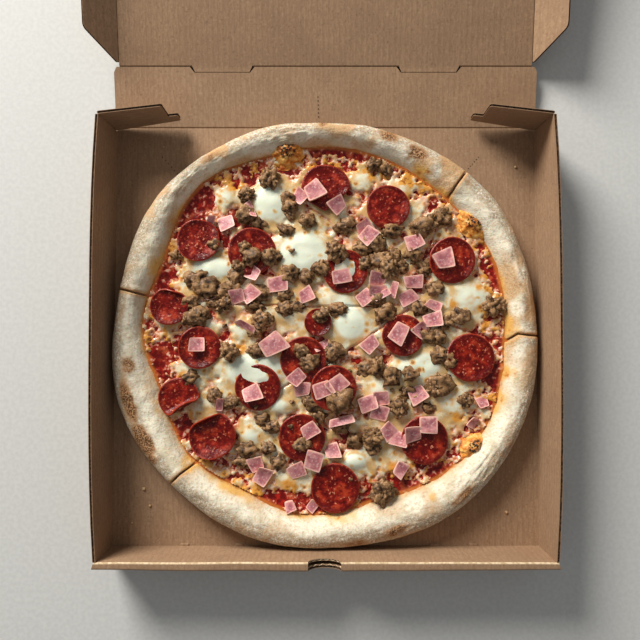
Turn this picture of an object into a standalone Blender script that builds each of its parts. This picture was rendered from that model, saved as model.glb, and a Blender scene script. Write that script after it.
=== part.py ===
"""A sliced pizza in its open corrugated cardboard box.

Metres, +Z up. X runs to the right, Y to the back, where the lid is hinged. The origin is the
middle of the tray floor's underside, which is what the box rests on.
"""
import math
import random

import bmesh
import bpy
from mathutils import Matrix, Vector, noise

MM = 0.001
GAP = 0.3 * MM

# Corrugated board
BOARD = 2.2 * MM
NOSE = BOARD / 2
NOSE_STEPS = 3
NOSE_END = 84
CREASE_GAP = NOSE + GAP
ARC_STEPS = 4

# Tray
TRAY_HALF_WIDTH = 165 * MM
TRAY_FRONT = -163.6 * MM
FRONT_WALL = 5.2 * MM
WALL_TOP = 42 * MM
WALL_REAR = 160.7 * MM
WALL_LEAN_FRONT = -0.3 * MM
WALL_LEAN_REAR = 1.8 * MM
WALL_BOW = 3.8 * MM
WALL_STATIONS = 12
NOTCH_HALF_WIDTH = 12 * MM
NOTCH_DEPTH = 9 * MM
NOTCH_MIDDLE = -1 * MM
NOTCH_SIDES = 16
NOTCH_CUT_LENGTH = 3 * FRONT_WALL
WALL_OVERLAP = 0.1 * MM

# Rear panel and lid, as opened
OPEN_TILT = math.radians(9.8)
REAR_HINGE_Y = 164.6 * MM
REAR_PANEL_LENGTH = 47 * MM
REAR_PANEL_HALF_WIDTH = 165.9 * MM
REAR_CORNER_ALONG = 4 * MM
REAR_CORNER_ACROSS = 2 * MM
LID_LENGTH = 323 * MM
LID_HALF_WIDTH = 163 * MM
HINGE_TAB_MIDDLE = 81 * MM
HINGE_TAB_HALF_WIDTH = 24 * MM
HINGE_TAB_REACH = 5.2 * MM
HINGE_TAB_SLANT = 2.6 * MM
HINGE_TAB_CLEARANCE = 0.5 * MM
HINGE_TAB_FLARE = 0.9 * MM

# Lid flaps
FLAP_TILT = math.radians(45)
FLAP_DEPTH = 27.5 * MM
FLAP_INSET = 2.5 * MM
FLAP_CHAMFER = 21 * MM
FLAP_CORNER = 7 * MM

# Corner tabs at the rear ends of the side walls
TAB_HINGE_X = 166.8 * MM
TAB_HINGE_Y = 162.1 * MM
TAB_SWING = math.radians(6.6)
TAB_TOP_REACH = 46.5 * MM
TAB_LOW_REACH = 54 * MM
TAB_BOTTOM = 3.2 * MM
TAB_FREE_BOTTOM = 9 * MM
TAB_STEP_HEIGHT = 20 * MM
TAB_LOW_START = 6 * MM
TAB_CORNER = 2 * MM

# Pizza crust: sizes are radii from the pizza's middle and heights above the table
PIZZA_X = -0.5 * MM
PIZZA_Y = -0.1 * MM
CRUST_RADIUS = 165.6 * MM
CRUST_SQUARING = 2.4 * MM
CRUST_REACH_X = 164.6 * MM
CRUST_REACH_Y = 163.0 * MM
RIM_INNER = 140 * MM
RIM_WAVES = ((1, 3.9 * MM, 84), (2, 1.9 * MM, -111), (3, 1.4 * MM, -28))
CRUST_SIDES = 64
DOUGH_BOTTOM = BOARD + GAP
DOUGH_TOP = 8.0 * MM
RIM_TOP = 20.4 * MM
RIM_LUMPS = 0.9 * MM
# How far in from the outer edge, as a share of the rim's width, and the height
RIM_PROFILE = (
    (0.62, DOUGH_BOTTOM),
    (0.26, 3.4 * MM),
    (0.05, 7.4 * MM),
    (0.00, 12.6 * MM),
    (0.11, 16.9 * MM),
    (0.32, 19.7 * MM),
    (0.55, RIM_TOP),
    (0.77, 17.9 * MM),
    (0.92, 13.2 * MM),
    (1.08, 9.6 * MM),
    (1.35, DOUGH_TOP),
)
SAUCE_INSET = 11 * MM
SAUCE_THICK = 1.2 * MM
CHEESE_INSET = 19 * MM
CHEESE_THICK = 1.7 * MM
CHEESE_EDGE_WAVE = 5 * MM
# A layer's rounded edge: how far in, and the share of its thickness
LAYER_EDGE = ((1.5 * MM, 0), (0, 0.35), (1.2 * MM, 0.85), (6 * MM, 1))

# Toppings: levels they lie on, from the cheese up
LEVEL_CHEESE = DOUGH_TOP + SAUCE_THICK + CHEESE_THICK + 3 * GAP + 0.5 * MM
LEVEL_SLICE = LEVEL_CHEESE + 3.4 * MM
LEVEL_TOP = LEVEL_SLICE + 3.4 * MM
PEPPERONI_THICK = 1.5 * MM
PEPPERONI_SIDES = 18
# From the lower face out to the curled edge and in again: shares of the radius and the thickness
PEPPERONI_PROFILE = ((0.84, 0), (0.98, 0.5), (1.0, 1.6), (0.93, 1.8), (0.8, 1.15))
# A crumble's half length, half width and half height as shares of its width
SAUSAGE_SHAPE = (0.5, 0.43, 0.27)
SAUSAGE_BASE = -0.42
SAUSAGE_TURN = 1.9
HAM_THICK = 3.2 * MM
HAM_SKEW = 0.07
HAM_EDGE = 0.5 * MM

# Middle x and y and width, in millimetres, as they lie on the pizza, with the level
PEPPERONI = (
    (0, 112, 40, LEVEL_CHEESE),
    (48, 98, 35, LEVEL_CHEESE),
    (97, 57, 37, LEVEL_CHEESE),
    (111, -18, 38, LEVEL_CHEESE),
    (75, -81, 38, LEVEL_CHEESE),
    (7, -117, 39, LEVEL_CHEESE),
    (-18, -79, 37, LEVEL_CHEESE),
    (6, -41, 36, LEVEL_SLICE),
    (-17, -20, 37, LEVEL_CHEESE),
    (-6, 9, 22, LEVEL_CHEESE),
    (-52, -41, 37, LEVEL_CHEESE),
    (-96, -10, 34, LEVEL_CHEESE),
    (-120, 21, 31, LEVEL_CHEESE),
    (-98, 72, 34, LEVEL_CHEESE),
    (-57, 63, 39, LEVEL_CHEESE),
    (15, 48, 36, LEVEL_CHEESE),
    (59, -1, 34, LEVEL_CHEESE),
    (-112, -49, 33, LEVEL_CHEESE),
    (-86, -77, 37, LEVEL_CHEESE),
)
SAUSAGE = (
    (-43, 121, 17, LEVEL_CHEESE),
    (-61, 108, 15, LEVEL_CHEESE),
    (6, 64, 16, LEVEL_SLICE),
    (48, 53, 20, LEVEL_CHEESE),
    (129, 21, 18, LEVEL_CHEESE),
    (43, -119, 22, LEVEL_CHEESE),
    (106, -51, 14, LEVEL_CHEESE),
    (84, -41, 16, LEVEL_CHEESE),
    (40, -24, 15, LEVEL_CHEESE),
    (36, -78, 17, LEVEL_CHEESE),
    (56, -56, 15, LEVEL_CHEESE),
    (-74, -14, 17, LEVEL_SLICE),
    (-49, 9, 17, LEVEL_CHEESE),
    (-78, 23, 15, LEVEL_CHEESE),
    (79, 86, 14, LEVEL_CHEESE),
)
# The last two values are the length and the turn in degrees
HAM = (
    (-9, 110, 15, LEVEL_SLICE, 14, 35),
    (90, 57, 15, LEVEL_SLICE, 14, 15),
    (33, 76, 14, LEVEL_CHEESE, 12, 50),
    (68, 71, 14, LEVEL_CHEESE, 11, 20),
    (-37, 38, 16, LEVEL_CHEESE, 12, 10),
    (68, 40, 15, LEVEL_CHEESE, 10, 5),
    (56, 1, 17, LEVEL_SLICE, 12, 60),
    (-40, -8, 20, LEVEL_SLICE, 16, 30),
    (9, -38, 16, LEVEL_TOP, 13, 40),
    (32, -53, 15, LEVEL_CHEESE, 12, 20),
    (-9, -96, 15, LEVEL_SLICE, 14, 75),
    (78, -69, 14, LEVEL_SLICE, 13, 0),
    (12, -66, 20, LEVEL_SLICE, 6, 15),
    (57, -103, 12, LEVEL_CHEESE, 10, 60),
)

# Colours as linear red, green and blue, with the roughness
LOOKS = {
    "cardboard": ((0.37, 0.25, 0.15), 0.9),
    "crust": ((0.72, 0.62, 0.46), 0.85),
    "sauce": ((0.30, 0.03, 0.01), 0.35),
    "cheese": ((0.80, 0.70, 0.48), 0.4),
    "pepperoni": ((0.33, 0.03, 0.02), 0.35),
    "sausage": ((0.16, 0.10, 0.06), 0.7),
    "ham": ((0.60, 0.28, 0.26), 0.5),
}


def clear_scene():
    for found in list(bpy.data.objects):
        bpy.data.objects.remove(found, do_unlink=True)


def material(name):
    """The one Principled material of a kind of thing, made on first use."""
    found = bpy.data.materials.get(name)
    if found:
        return found
    colour, roughness = LOOKS[name]
    made = bpy.data.materials.new(name)
    made.use_nodes = True
    shader = made.node_tree.nodes["Principled BSDF"]
    shader.inputs["Base Color"].default_value = (*colour, 1)
    shader.inputs["Roughness"].default_value = roughness
    shader.inputs["Metallic"].default_value = 0
    return made


def add_object(name, bm, look, smooth_angle=None):
    """One named object from a bmesh, with its faces pointing out."""
    bmesh.ops.recalc_face_normals(bm, faces=bm.faces[:])
    mesh = bpy.data.meshes.new(name)
    bm.to_mesh(mesh)
    bm.free()
    if smooth_angle:
        mesh.shade_smooth()
        mesh.set_sharp_from_angle(angle=math.radians(smooth_angle))
    made = bpy.data.objects.new(name, mesh)
    bpy.context.collection.objects.link(made)
    mesh.materials.append(material(look))
    return made


def loft(bm, rings):
    """Joins closed rings of points, one after the other, and returns the rings of vertices."""
    lines = [[bm.verts.new(point) for point in ring] for ring in rings]
    for low, high in zip(lines, lines[1:]):
        for i in range(len(low)):
            j = (i + 1) % len(low)
            bm.faces.new((low[i], low[j], high[j], high[i]))
    return lines


def boolean(target, tool, operation):
    cut = target.modifiers.new(tool.name, "BOOLEAN")
    cut.operation = operation
    cut.object = tool
    tool.hide_render = True
    tool.display_type = "WIRE"


def rounded(points, corners, radius):
    """The outline with each named corner turned into an arc between its two sides."""
    outline = []
    for i, point in enumerate(points):
        if i not in corners:
            outline.append(point)
            continue
        corner = Vector(point)
        before = (Vector(points[i - 1]) - corner).normalized()
        after = (Vector(points[(i + 1) % len(points)]) - corner).normalized()
        half = before.angle(after) / 2
        centre = corner + (before + after).normalized() * radius / math.sin(half)
        start = corner + before * radius / math.tan(half) - centre
        turn = (math.pi - 2 * half) * (1 if before.cross(after) < 0 else -1)
        for step in range(ARC_STEPS + 1):
            arm = Matrix.Rotation(turn * step / ARC_STEPS, 2) @ start
            outline.append(tuple(centre + arm))
    return outline


def board(name, outline):
    """A flat board about its hinge line, which is the X axis, at mid thickness.

    The outline's points are along the hinge and away from it. Each side that lies on the
    hinge line gets a half-round nose, so that it turns without touching its neighbour.
    """
    bm = bmesh.new()
    face = bm.faces.new([bm.verts.new((x, y, -NOSE)) for x, y in outline])
    risen = bmesh.ops.extrude_face_region(bm, geom=[face])["geom"]
    lifted = [v for v in risen if isinstance(v, bmesh.types.BMVert)]
    bmesh.ops.translate(bm, verts=lifted, vec=(0, 0, BOARD))
    for face in [f for f in bm.faces if all(v.co.y == 0 for v in f.verts)]:
        for step in range(1, NOSE_STEPS + 1):
            angle = math.radians(NOSE_END) * step / NOSE_STEPS
            moved = bmesh.ops.extrude_discrete_faces(bm, faces=[face])["faces"]
            face = moved[0]
            for vertex in face.verts:
                vertex.co.y = -NOSE * math.sin(angle)
                vertex.co.z = math.copysign(NOSE * math.cos(angle), vertex.co.z)
    return add_object(name, bm, "cardboard")


def wall_lean(y):
    """How far the side wall's top edge stands out of its foot at a place along it."""
    share = (y - TRAY_FRONT) / (WALL_REAR - TRAY_FRONT)
    straight = WALL_LEAN_FRONT + (WALL_LEAN_REAR - WALL_LEAN_FRONT) * share
    return straight + WALL_BOW * max(0, 1 - abs(2 * share - 1) ** 3)


def make_tray():
    front = TRAY_FRONT - FRONT_WALL
    steps = [WALL_REAR + (TRAY_FRONT - WALL_REAR) * i / WALL_STATIONS for i in range(WALL_STATIONS + 1)]
    inside, outside = TRAY_HALF_WIDTH, TRAY_HALF_WIDTH + BOARD
    rings = []
    for y in steps + [front]:
        lean = wall_lean(max(y, TRAY_FRONT))
        left = [(-outside, 0), (-outside - lean, WALL_TOP), (-inside - lean, WALL_TOP), (-inside, BOARD)]
        right = [(-x, z) for x, z in reversed(left)]
        rings.append([(x, y, z) for x, z in left + right])
    bm = bmesh.new()
    lines = loft(bm, rings)
    for line in (lines[0], lines[-1]):
        for corners in ((0, 1, 2, 3), (0, 3, 4, 7), (4, 5, 6, 7)):
            bm.faces.new([line[i] for i in corners])
    rear_line = [lines[0][i] for i in (0, 3, 4, 7)]
    floor_end = next(f for f in bm.faces if set(f.verts) == set(rear_line))
    grown = bmesh.ops.extrude_face_region(bm, geom=[floor_end])["geom"]
    moved = [v for v in grown if isinstance(v, bmesh.types.BMVert)]
    bmesh.ops.translate(bm, verts=moved, vec=(0, REAR_HINGE_Y - CREASE_GAP - WALL_REAR, 0))
    bmesh.ops.delete(bm, geom=[floor_end], context="FACES_ONLY")
    tray = add_object("tray", bm, "cardboard")

    bm = bmesh.new()
    bmesh.ops.create_cube(bm, size=1)
    bmesh.ops.scale(bm, verts=bm.verts, vec=(2 * (TRAY_HALF_WIDTH + WALL_OVERLAP), FRONT_WALL, WALL_TOP))
    wall = add_object("front_wall", bm, "cardboard")
    wall.location = (0, TRAY_FRONT - FRONT_WALL / 2, WALL_TOP / 2)
    boolean(tray, wall, "UNION")

    bm = bmesh.new()
    bmesh.ops.create_circle(bm, cap_ends=True, radius=1, segments=2 * NOTCH_SIDES)
    bmesh.ops.rotate(bm, verts=bm.verts, matrix=Matrix.Rotation(math.radians(90), 3, "X"))
    bmesh.ops.scale(bm, verts=bm.verts, vec=(NOTCH_HALF_WIDTH, 1, NOTCH_DEPTH))
    grown = bmesh.ops.extrude_face_region(bm, geom=bm.faces[:])["geom"]
    moved = [v for v in grown if isinstance(v, bmesh.types.BMVert)]
    bmesh.ops.translate(bm, verts=moved, vec=(0, NOTCH_CUT_LENGTH, 0))
    notch = add_object("thumb_notch", bm, "cardboard")
    notch.location = (NOTCH_MIDDLE, TRAY_FRONT - (FRONT_WALL + NOTCH_CUT_LENGTH) / 2, WALL_TOP)
    boolean(tray, notch, "DIFFERENCE")


def hinge_tab_points(grow, flare):
    """Where the two hinge tabs start, narrow, end and how far they reach, from the left."""
    points = []
    for middle in (-HINGE_TAB_MIDDLE, HINGE_TAB_MIDDLE):
        wide = HINGE_TAB_HALF_WIDTH + grow + flare
        narrow = HINGE_TAB_HALF_WIDTH + grow - HINGE_TAB_SLANT
        reach = HINGE_TAB_REACH + grow
        points.append((middle - wide, middle - narrow, middle + narrow, middle + wide, reach))
    return points


def make_rear_panel():
    far = REAR_PANEL_LENGTH - CREASE_GAP
    outline = [(-REAR_PANEL_HALF_WIDTH, 0), (REAR_PANEL_HALF_WIDTH, 0)]
    corner = [(REAR_PANEL_HALF_WIDTH, far - REAR_CORNER_ALONG), (REAR_PANEL_HALF_WIDTH - REAR_CORNER_ACROSS, far)]
    outline += corner
    for a, b, c, d, reach in reversed(hinge_tab_points(HINGE_TAB_CLEARANCE, HINGE_TAB_FLARE)):
        low = REAR_PANEL_LENGTH - reach
        outline += [(d, far), (c, low), (b, low), (a, far)]
    outline += [(-x, y) for x, y in reversed(corner)]
    panel = board("rear_panel", outline)
    panel.location = (0, REAR_HINGE_Y, NOSE)
    panel.rotation_euler = (OPEN_TILT, 0, 0)
    return panel


def make_lid(panel):
    side = LID_HALF_WIDTH - CREASE_GAP
    far = LID_LENGTH - CREASE_GAP
    outline = [(-side, 0)]
    for a, b, c, d, reach in hinge_tab_points(0, 0):
        outline += [(a, 0), (b, -reach), (c, -reach), (d, 0)]
    outline += [(side, 0), (side, far), (-side, far)]
    lid = board("lid", outline)
    lid.parent = panel
    lid.location = (0, REAR_PANEL_LENGTH, 0)
    return lid


def flap_outline(half_length):
    tip = half_length - FLAP_CHAMFER
    points = [(-half_length, 0), (half_length, 0), (half_length, NOSE)]
    points += [(tip, FLAP_DEPTH), (-tip, FLAP_DEPTH), (-half_length, NOSE)]
    return rounded(points, (3, 4), FLAP_CORNER)


def make_flaps(lid):
    along = LID_LENGTH / 2
    places = (
        ("lid_flap_left", (-LID_HALF_WIDTH, along, 0), 90, LID_LENGTH / 2 - FLAP_INSET),
        ("lid_flap_right", (LID_HALF_WIDTH, along, 0), -90, LID_LENGTH / 2 - FLAP_INSET),
        ("lid_flap_front", (0, LID_LENGTH, 0), 0, LID_HALF_WIDTH - FLAP_INSET),
    )
    for name, place, turn, half_length in places:
        flap = board(name, flap_outline(half_length))
        flap.parent = lid
        flap.location = place
        flap.rotation_euler = (FLAP_TILT, 0, math.radians(turn))


def make_corner_tabs():
    """The tabs stand upright: their hinge line is vertical, and they reach inwards."""
    points = [
        (TAB_BOTTOM, 0),
        (WALL_TOP - GAP, 0),
        (WALL_TOP - GAP, TAB_TOP_REACH),
        (TAB_STEP_HEIGHT, TAB_TOP_REACH),
        (TAB_STEP_HEIGHT, TAB_LOW_REACH),
        (TAB_FREE_BOTTOM, TAB_LOW_REACH),
        (TAB_BOTTOM, TAB_LOW_START),
    ]
    outline = rounded(points, (2, 4, 5), TAB_CORNER)
    for name, side in (("corner_tab_left", -1), ("corner_tab_right", 1)):
        tab = board(name, outline)
        reach = Vector((-side * math.cos(TAB_SWING), math.sin(TAB_SWING), 0))
        up = Vector((0, 0, 1))
        turned = Matrix((up, reach, up.cross(reach))).transposed().to_4x4()
        tab.matrix_world = Matrix.Translation((side * TAB_HINGE_X, TAB_HINGE_Y, 0)) @ turned


def waves(angle, table):
    return sum(size * math.cos(count * angle - math.radians(phase)) for count, size, phase in table)


def round_noise(angle, humps, seed):
    """Smooth noise that closes on itself round the pizza or a slice."""
    return noise.noise(Vector((humps * math.cos(angle), humps * math.sin(angle), seed)))


def crust_outer(angle):
    """The crust's outer edge: nearly round, and pressed square by the walls."""
    lumps = round_noise(angle, 2.1, 4.0) * RIM_LUMPS
    reach = CRUST_RADIUS - CRUST_SQUARING * math.cos(4 * angle) + lumps
    along_x = (CRUST_REACH_X - abs(PIZZA_X)) / max(abs(math.cos(angle)), 1e-6)
    along_y = (CRUST_REACH_Y - abs(PIZZA_Y)) / max(abs(math.sin(angle)), 1e-6)
    return min(reach, along_x, along_y)


def crust_inner(angle):
    return RIM_INNER + waves(angle, RIM_WAVES)


def at_angle(angle, radius, height):
    return (PIZZA_X + radius * math.cos(angle), PIZZA_Y + radius * math.sin(angle), height)


def angles():
    return [2 * math.pi * i / CRUST_SIDES for i in range(CRUST_SIDES)]


def make_dough():
    rings = []
    for share, height in RIM_PROFILE:
        ring = []
        for angle in angles():
            outer = crust_outer(angle)
            width = outer - crust_inner(angle)
            swell = round_noise(angle, 1.7, 9.0)
            rise = RIM_LUMPS * swell * max(0, (height - DOUGH_TOP) / (RIM_TOP - DOUGH_TOP))
            ring.append(at_angle(angle, outer - share * width, height + rise))
        rings.append(ring)
    bm = bmesh.new()
    lines = loft(bm, rings)
    bm.faces.new(lines[0])
    bm.faces.new(lines[-1])
    add_object("dough", bm, "crust", 60)


def make_layer(name, look, inset, bottom, thick, edge_wave):
    """A thin layer with a rounded, wavy edge that lies flat inside the rim."""
    rings = []
    for inward, share in LAYER_EDGE:
        ring = []
        for angle in angles():
            wave = round_noise(angle, 3.1, inset / (2.5 * MM))
            radius = crust_inner(angle) - inset + edge_wave * wave - inward
            ring.append(at_angle(angle, radius, bottom + share * thick))
        rings.append(ring)
    bm = bmesh.new()
    lines = loft(bm, rings)
    bm.faces.new(lines[0])
    bm.faces.new(lines[-1])
    add_object(name, bm, look, 60)


def make_pepperoni(number, x, y, width, level):
    """A thin slice whose edge has curled up a little."""
    radius = width * MM / 2
    rings = []
    for share, height in PEPPERONI_PROFILE:
        ring = []
        for i in range(PEPPERONI_SIDES):
            angle = 2 * math.pi * i / PEPPERONI_SIDES
            wobble = round_noise(angle, 1.3, 3.7 * number)
            reach = radius * share * (0.97 + 0.05 * wobble)
            ring.append((reach * math.cos(angle), reach * math.sin(angle), height * PEPPERONI_THICK))
        rings.append(ring)
    bm = bmesh.new()
    lines = loft(bm, rings)
    bm.faces.new(lines[0])
    bm.faces.new(lines[-1])
    piece = add_object(f"pepperoni_{number:02d}", bm, "pepperoni", 50)
    piece.location = (x * MM, y * MM, level)


def make_sausage(number, x, y, width, level):
    """A rough crumble of cooked sausage with a flat base."""
    bm = bmesh.new()
    bmesh.ops.create_icosphere(bm, subdivisions=2, radius=1)
    for vertex in bm.verts:
        vertex.co *= 0.92 + 0.22 * noise.noise(vertex.co * 1.6 + Vector((7.0 * number, 0, 0)))
        vertex.co.z = max(vertex.co.z, SAUSAGE_BASE)
    low = min(vertex.co.z for vertex in bm.verts)
    stretch = Vector(SAUSAGE_SHAPE) * width * MM
    for vertex in bm.verts:
        vertex.co = (vertex.co - Vector((0, 0, low))) * stretch
    crumble = add_object(f"sausage_{number:02d}", bm, "sausage", 70)
    crumble.location = (x * MM, y * MM, level)
    crumble.rotation_euler = (0, 0, SAUSAGE_TURN * number)


def make_ham(number, x, y, width, level, length, turn):
    """A small slab of ham with uneven corners."""
    spread = random.Random(number)
    bm = bmesh.new()
    bmesh.ops.create_cube(bm, size=1)
    for vertex in bm.verts:
        vertex.co.x += spread.uniform(-HAM_SKEW, HAM_SKEW)
        vertex.co.y += spread.uniform(-HAM_SKEW, HAM_SKEW)
    bmesh.ops.scale(bm, verts=bm.verts, vec=(width * MM, length * MM, HAM_THICK))
    bmesh.ops.bevel(bm, geom=bm.edges[:], offset=HAM_EDGE, segments=1, affect="EDGES")
    piece = add_object(f"ham_{number:02d}", bm, "ham")
    piece.location = (x * MM, y * MM, level + HAM_THICK / 2)
    piece.rotation_euler = (0, 0, math.radians(turn))


def make_pizza():
    make_dough()
    sauce_bottom = DOUGH_TOP + GAP
    make_layer("sauce", "sauce", SAUCE_INSET, sauce_bottom, SAUCE_THICK, 0)
    cheese_bottom = sauce_bottom + SAUCE_THICK + GAP
    make_layer("cheese", "cheese", CHEESE_INSET, cheese_bottom, CHEESE_THICK, CHEESE_EDGE_WAVE)
    for number, place in enumerate(PEPPERONI, 1):
        make_pepperoni(number, *place)
    for number, place in enumerate(SAUSAGE, 1):
        make_sausage(number, *place)
    for number, place in enumerate(HAM, 1):
        make_ham(number, *place)


clear_scene()
make_tray()
make_corner_tabs()
make_flaps(make_lid(make_rear_panel()))
make_pizza()
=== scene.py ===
"""Looks of a sliced pizza in its open corrugated cardboard box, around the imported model.

Places and sizes are in millimetres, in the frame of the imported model: X to the right, Y to the
back, where the lid is hinged, Z up from the table.
"""
import math
import random

import bmesh
import bpy
import numpy as np
from mathutils import Matrix, Vector, noise


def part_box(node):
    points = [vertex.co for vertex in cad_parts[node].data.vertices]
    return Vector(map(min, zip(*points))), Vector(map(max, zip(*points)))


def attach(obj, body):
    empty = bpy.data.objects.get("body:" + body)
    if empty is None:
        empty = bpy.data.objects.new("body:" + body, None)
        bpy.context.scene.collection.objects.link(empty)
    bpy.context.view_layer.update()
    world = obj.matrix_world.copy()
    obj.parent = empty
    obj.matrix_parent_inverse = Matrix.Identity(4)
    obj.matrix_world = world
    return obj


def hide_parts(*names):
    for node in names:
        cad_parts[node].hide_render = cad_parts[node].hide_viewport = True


# The noise vector that bends the crumbles' seams starts from the clock unless it has a seed
noise.seed_set(5)

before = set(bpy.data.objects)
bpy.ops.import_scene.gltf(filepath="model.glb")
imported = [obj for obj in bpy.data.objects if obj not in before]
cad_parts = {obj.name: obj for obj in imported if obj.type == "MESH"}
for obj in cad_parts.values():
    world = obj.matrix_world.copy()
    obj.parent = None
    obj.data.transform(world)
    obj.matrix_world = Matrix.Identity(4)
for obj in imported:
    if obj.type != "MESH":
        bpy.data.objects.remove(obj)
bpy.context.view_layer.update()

MM = 0.001

# Camera, fitted to the box in the photograph
PHOTO_SIDE = 640
FOCAL_PIXELS = 654.6
SENSOR = 36.0
CAMERA_PLACE = (-4.34, -8.06, 515.13)
CAMERA_TILT = 2.14

# Light, in metres and watts
LAMP_PLACE = (-0.93, 1.47, 0.92)
LAMP_SIZE = 0.9
LAMP_POWER = 66
SKY_STRENGTH = 0.3

# Tray, front wall and thumb notch
BOARD = 2.2
WALL_TOP = 42.0
FLOOR_TOP = 2.2
FRONT_INNER = -163.6
FRONT_OUTER = -168.8
FRONT_HALF_LENGTH = 166.3
FRONT_END_SLANT = 0.3
FRONT_BOW = 1.4
FRONT_CELLS = 48
ROLL_RADIUS = 1.2
ROLL_BOARD = 1.5
NOTCH_MIDDLE = -1.0
NOTCH_HALF_WIDTH = 12.0
NOTCH_DEPTH = 9.0
LINER = 0.32
FLUTE_DEPTH = 1.0
FLUTE_PITCH = 4.3
LOCK_TABS = (-109.0, -67.0, 84.0, 114.0)
# Beyond this place the rear panel's edge is cut, beside the tabs that stay with the lid
REAR_PANEL_CUT = 200

# Pizza: the rim's outlines as waves of (count round, size, phase in degrees)
PIZZA_X = -0.5
PIZZA_Y = -0.1
OUTER_RADIUS = 165.2
OUTER_WAVES = (
    (1, 0.8, 72), (2, 0.8, -129), (3, 0.8, -94), (4, 1.6, 160), (5, 0.5, -144), (6, 0.6, 139),
    (7, 1.1, -66),
)
INNER_RADIUS = 140.3
INNER_WAVES = (
    (1, 4.6, 85), (2, 1.9, -114), (3, 1.5, -24), (4, 1.1, -175), (5, 1.0, -165), (6, 1.0, 104),
    (7, 1.4, 143), (8, 1.5, -36), (9, 0.9, 164),
)
# How far the rim may reach from the box's middle, less at the back, where the rear panel stands up
OUTER_REACH = 164.7
REAR_REACH = 163.7
REAR_SOFTNESS = 2.0
# The rim's section: shares of the outer and the inner radius, and the height
RIM_SECTION = (
    (0.00, 0.00, 2.7), (0.00, 0.70, 2.7), (0.40, 0.60, 2.7), (0.72, 0.28, 3.1), (0.90, 0.10, 5.0),
    (0.98, 0.02, 8.6), (1.00, 0.00, 12.6), (0.95, 0.05, 16.6), (0.83, 0.17, 19.6), (0.66, 0.34, 21.2),
    (0.46, 0.54, 21.0), (0.28, 0.72, 18.9), (0.14, 0.86, 15.6), (0.04, 0.96, 12.4), (-0.04, 1.04, 10.2),
    (-0.16, 1.16, 8.8), (0.00, 0.80, 8.2), (0.00, 0.40, 8.2), (0.00, 0.00, 8.2),
)
# Heights of the sauce's top, and of the undersides of the sauce, the cheese and the crust
SAUCE_LEVEL = 9.4
SAUCE_FOOT = 8.0
CHEESE_FOOT = 7.6
CRUST_FOOT = 2.7
CRUST_LOWEST = 2.55
# Points round the crust and along its section, and the radii that its section is measured at
CRUST_GRID = (640, 118)
SECTION_RADII = (165, 140)
# How finely the section is drawn, over how many of those points it is smoothed, and how
# close together its hidden points stand
SECTION_STEPS = 900
SMOOTHING = 16
HIDDEN_SHARE = 0.12
CUT_DEPTH = 7.0
CUT_HALF_WIDTH = 0.6
# How sharply the edges of patches end
RIM_MARK_POWER = 1.3
OVAL_POWER = 1.4
# Points closer than this are one
MERGE = 1e-4
# A slice of pepperoni above the foot of its node: its middle, its top and how far it may sink
SLICE_MIDDLE = 0.9
SLICE_TOP = 1.9
SLICE_SINK = 1.2

# Wheel cuts through rim and cheese, as runs of points
CUTS = (
    ((-168, 37), (-152, 33), (-140, 30), (-94, 26), (-62, 23), (-10, 21), (29, 21), (60, 23)),
    (
        (-124, -119), (-109, -105), (-103, -101), (-91, -92), (-60, -56), (-33, -41), (-1, -25), (39, 2),
        (63, 18),
    ),
    ((116, 134), (109, 126), (100, 114), (95, 106), (80, 66), (62, 22)),
    ((-15, 100), (3, 88), (14, 69), (57, 22)),
    ((62, 20), (110, 2), (139, -5), (146, 0), (153, -1), (168, -2)),
)
# Browned blisters on the rim: middle x and y, half lengths along and across the rim, strength
CHAR_SPOTS = (
    (-148.5, -52, 15, 4.5, 1.3), (-137.5, -80, 13, 6.0, 1.5), (-131, -94, 6, 4, 0.8),
    (48, 152, 9, 5.5, 0.85), (70, 138, 9, 6, 0.9), (-2, 161, 4, 3, 0.8), (-88, 135, 10, 4, 0.5),
    (53, -147, 13, 4, 0.75), (103, -121, 12, 4, 0.7), (22, -157, 10, 4, 0.55), (-149, -24, 7, 5, 0.8),
    (-30, 154, 12, 3, 0.35), (-112, 108, 9, 4, 0.4), (152, 20, 8, 4, 0.35), (-120, 85, 7, 4, 0.3),
    (136, -86, 14, 4, 0.4), (146, 62, 9, 4, 0.35), (-60, -148, 9, 4, 0.3), (108, 116, 5, 3, 0.5),
    (-154, 20, 9, 4, 0.3),
)
# Cheese and fat that ran up the rim and browned: middle x and y, half lengths along and across
GOLDEN_PLACES = (
    (-129, 55, 13, 6, 1.0), (-112, 92, 10, 4.5, 0.9), (-76, 120, 12, 5, 0.8), (-137, 1, 17, 4, 0.9),
    (141, 6, 8, 6, 1.0), (139, -30, 7, 7, 0.9), (133, -52, 13, 4.5, 0.8), (80, -122, 4, 4, 0.9),
    (12, -139, 13, 5, 0.8), (-20, -136, 10, 5, 0.7), (-74, -116, 20, 5, 1.0), (74, 123, 9, 6, 1.0),
    (90, 108, 10, 5, 0.8), (-103, -98, 8, 6, 0.9), (-128, -56, 12, 4, 0.6), (134, 40, 8, 4, 0.8),
    (42, 133, 8, 4, 0.6), (-49, 133, 9, 4, 0.8), (-134, 28, 6, 5, 0.7),
)
# Wide toasted stretches of the rim: middle x and y, size and strength
TOASTED = (
    (150, 30, 60, 0.45), (20, 165, 60, 0.4), (90, 140, 45, 0.5), (-75, 140, 34, 0.42),
    (-125, 100, 30, 0.3), (-158, 30, 30, 0.3), (-155, -40, 26, 0.3), (60, -148, 34, 0.25),
    (-60, -150, 26, 0.2),
)
# Wrinkled stretches of the rim: middle x and y, size and strength
WRINKLED = (
    (-32, 150, 16, 0.9), (118, -108, 26, 1.0), (-100, 122, 18, 0.5), (150, 50, 24, 0.6),
    (66, -146, 24, 0.5), (150, -50, 24, 0.4),
)
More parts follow.
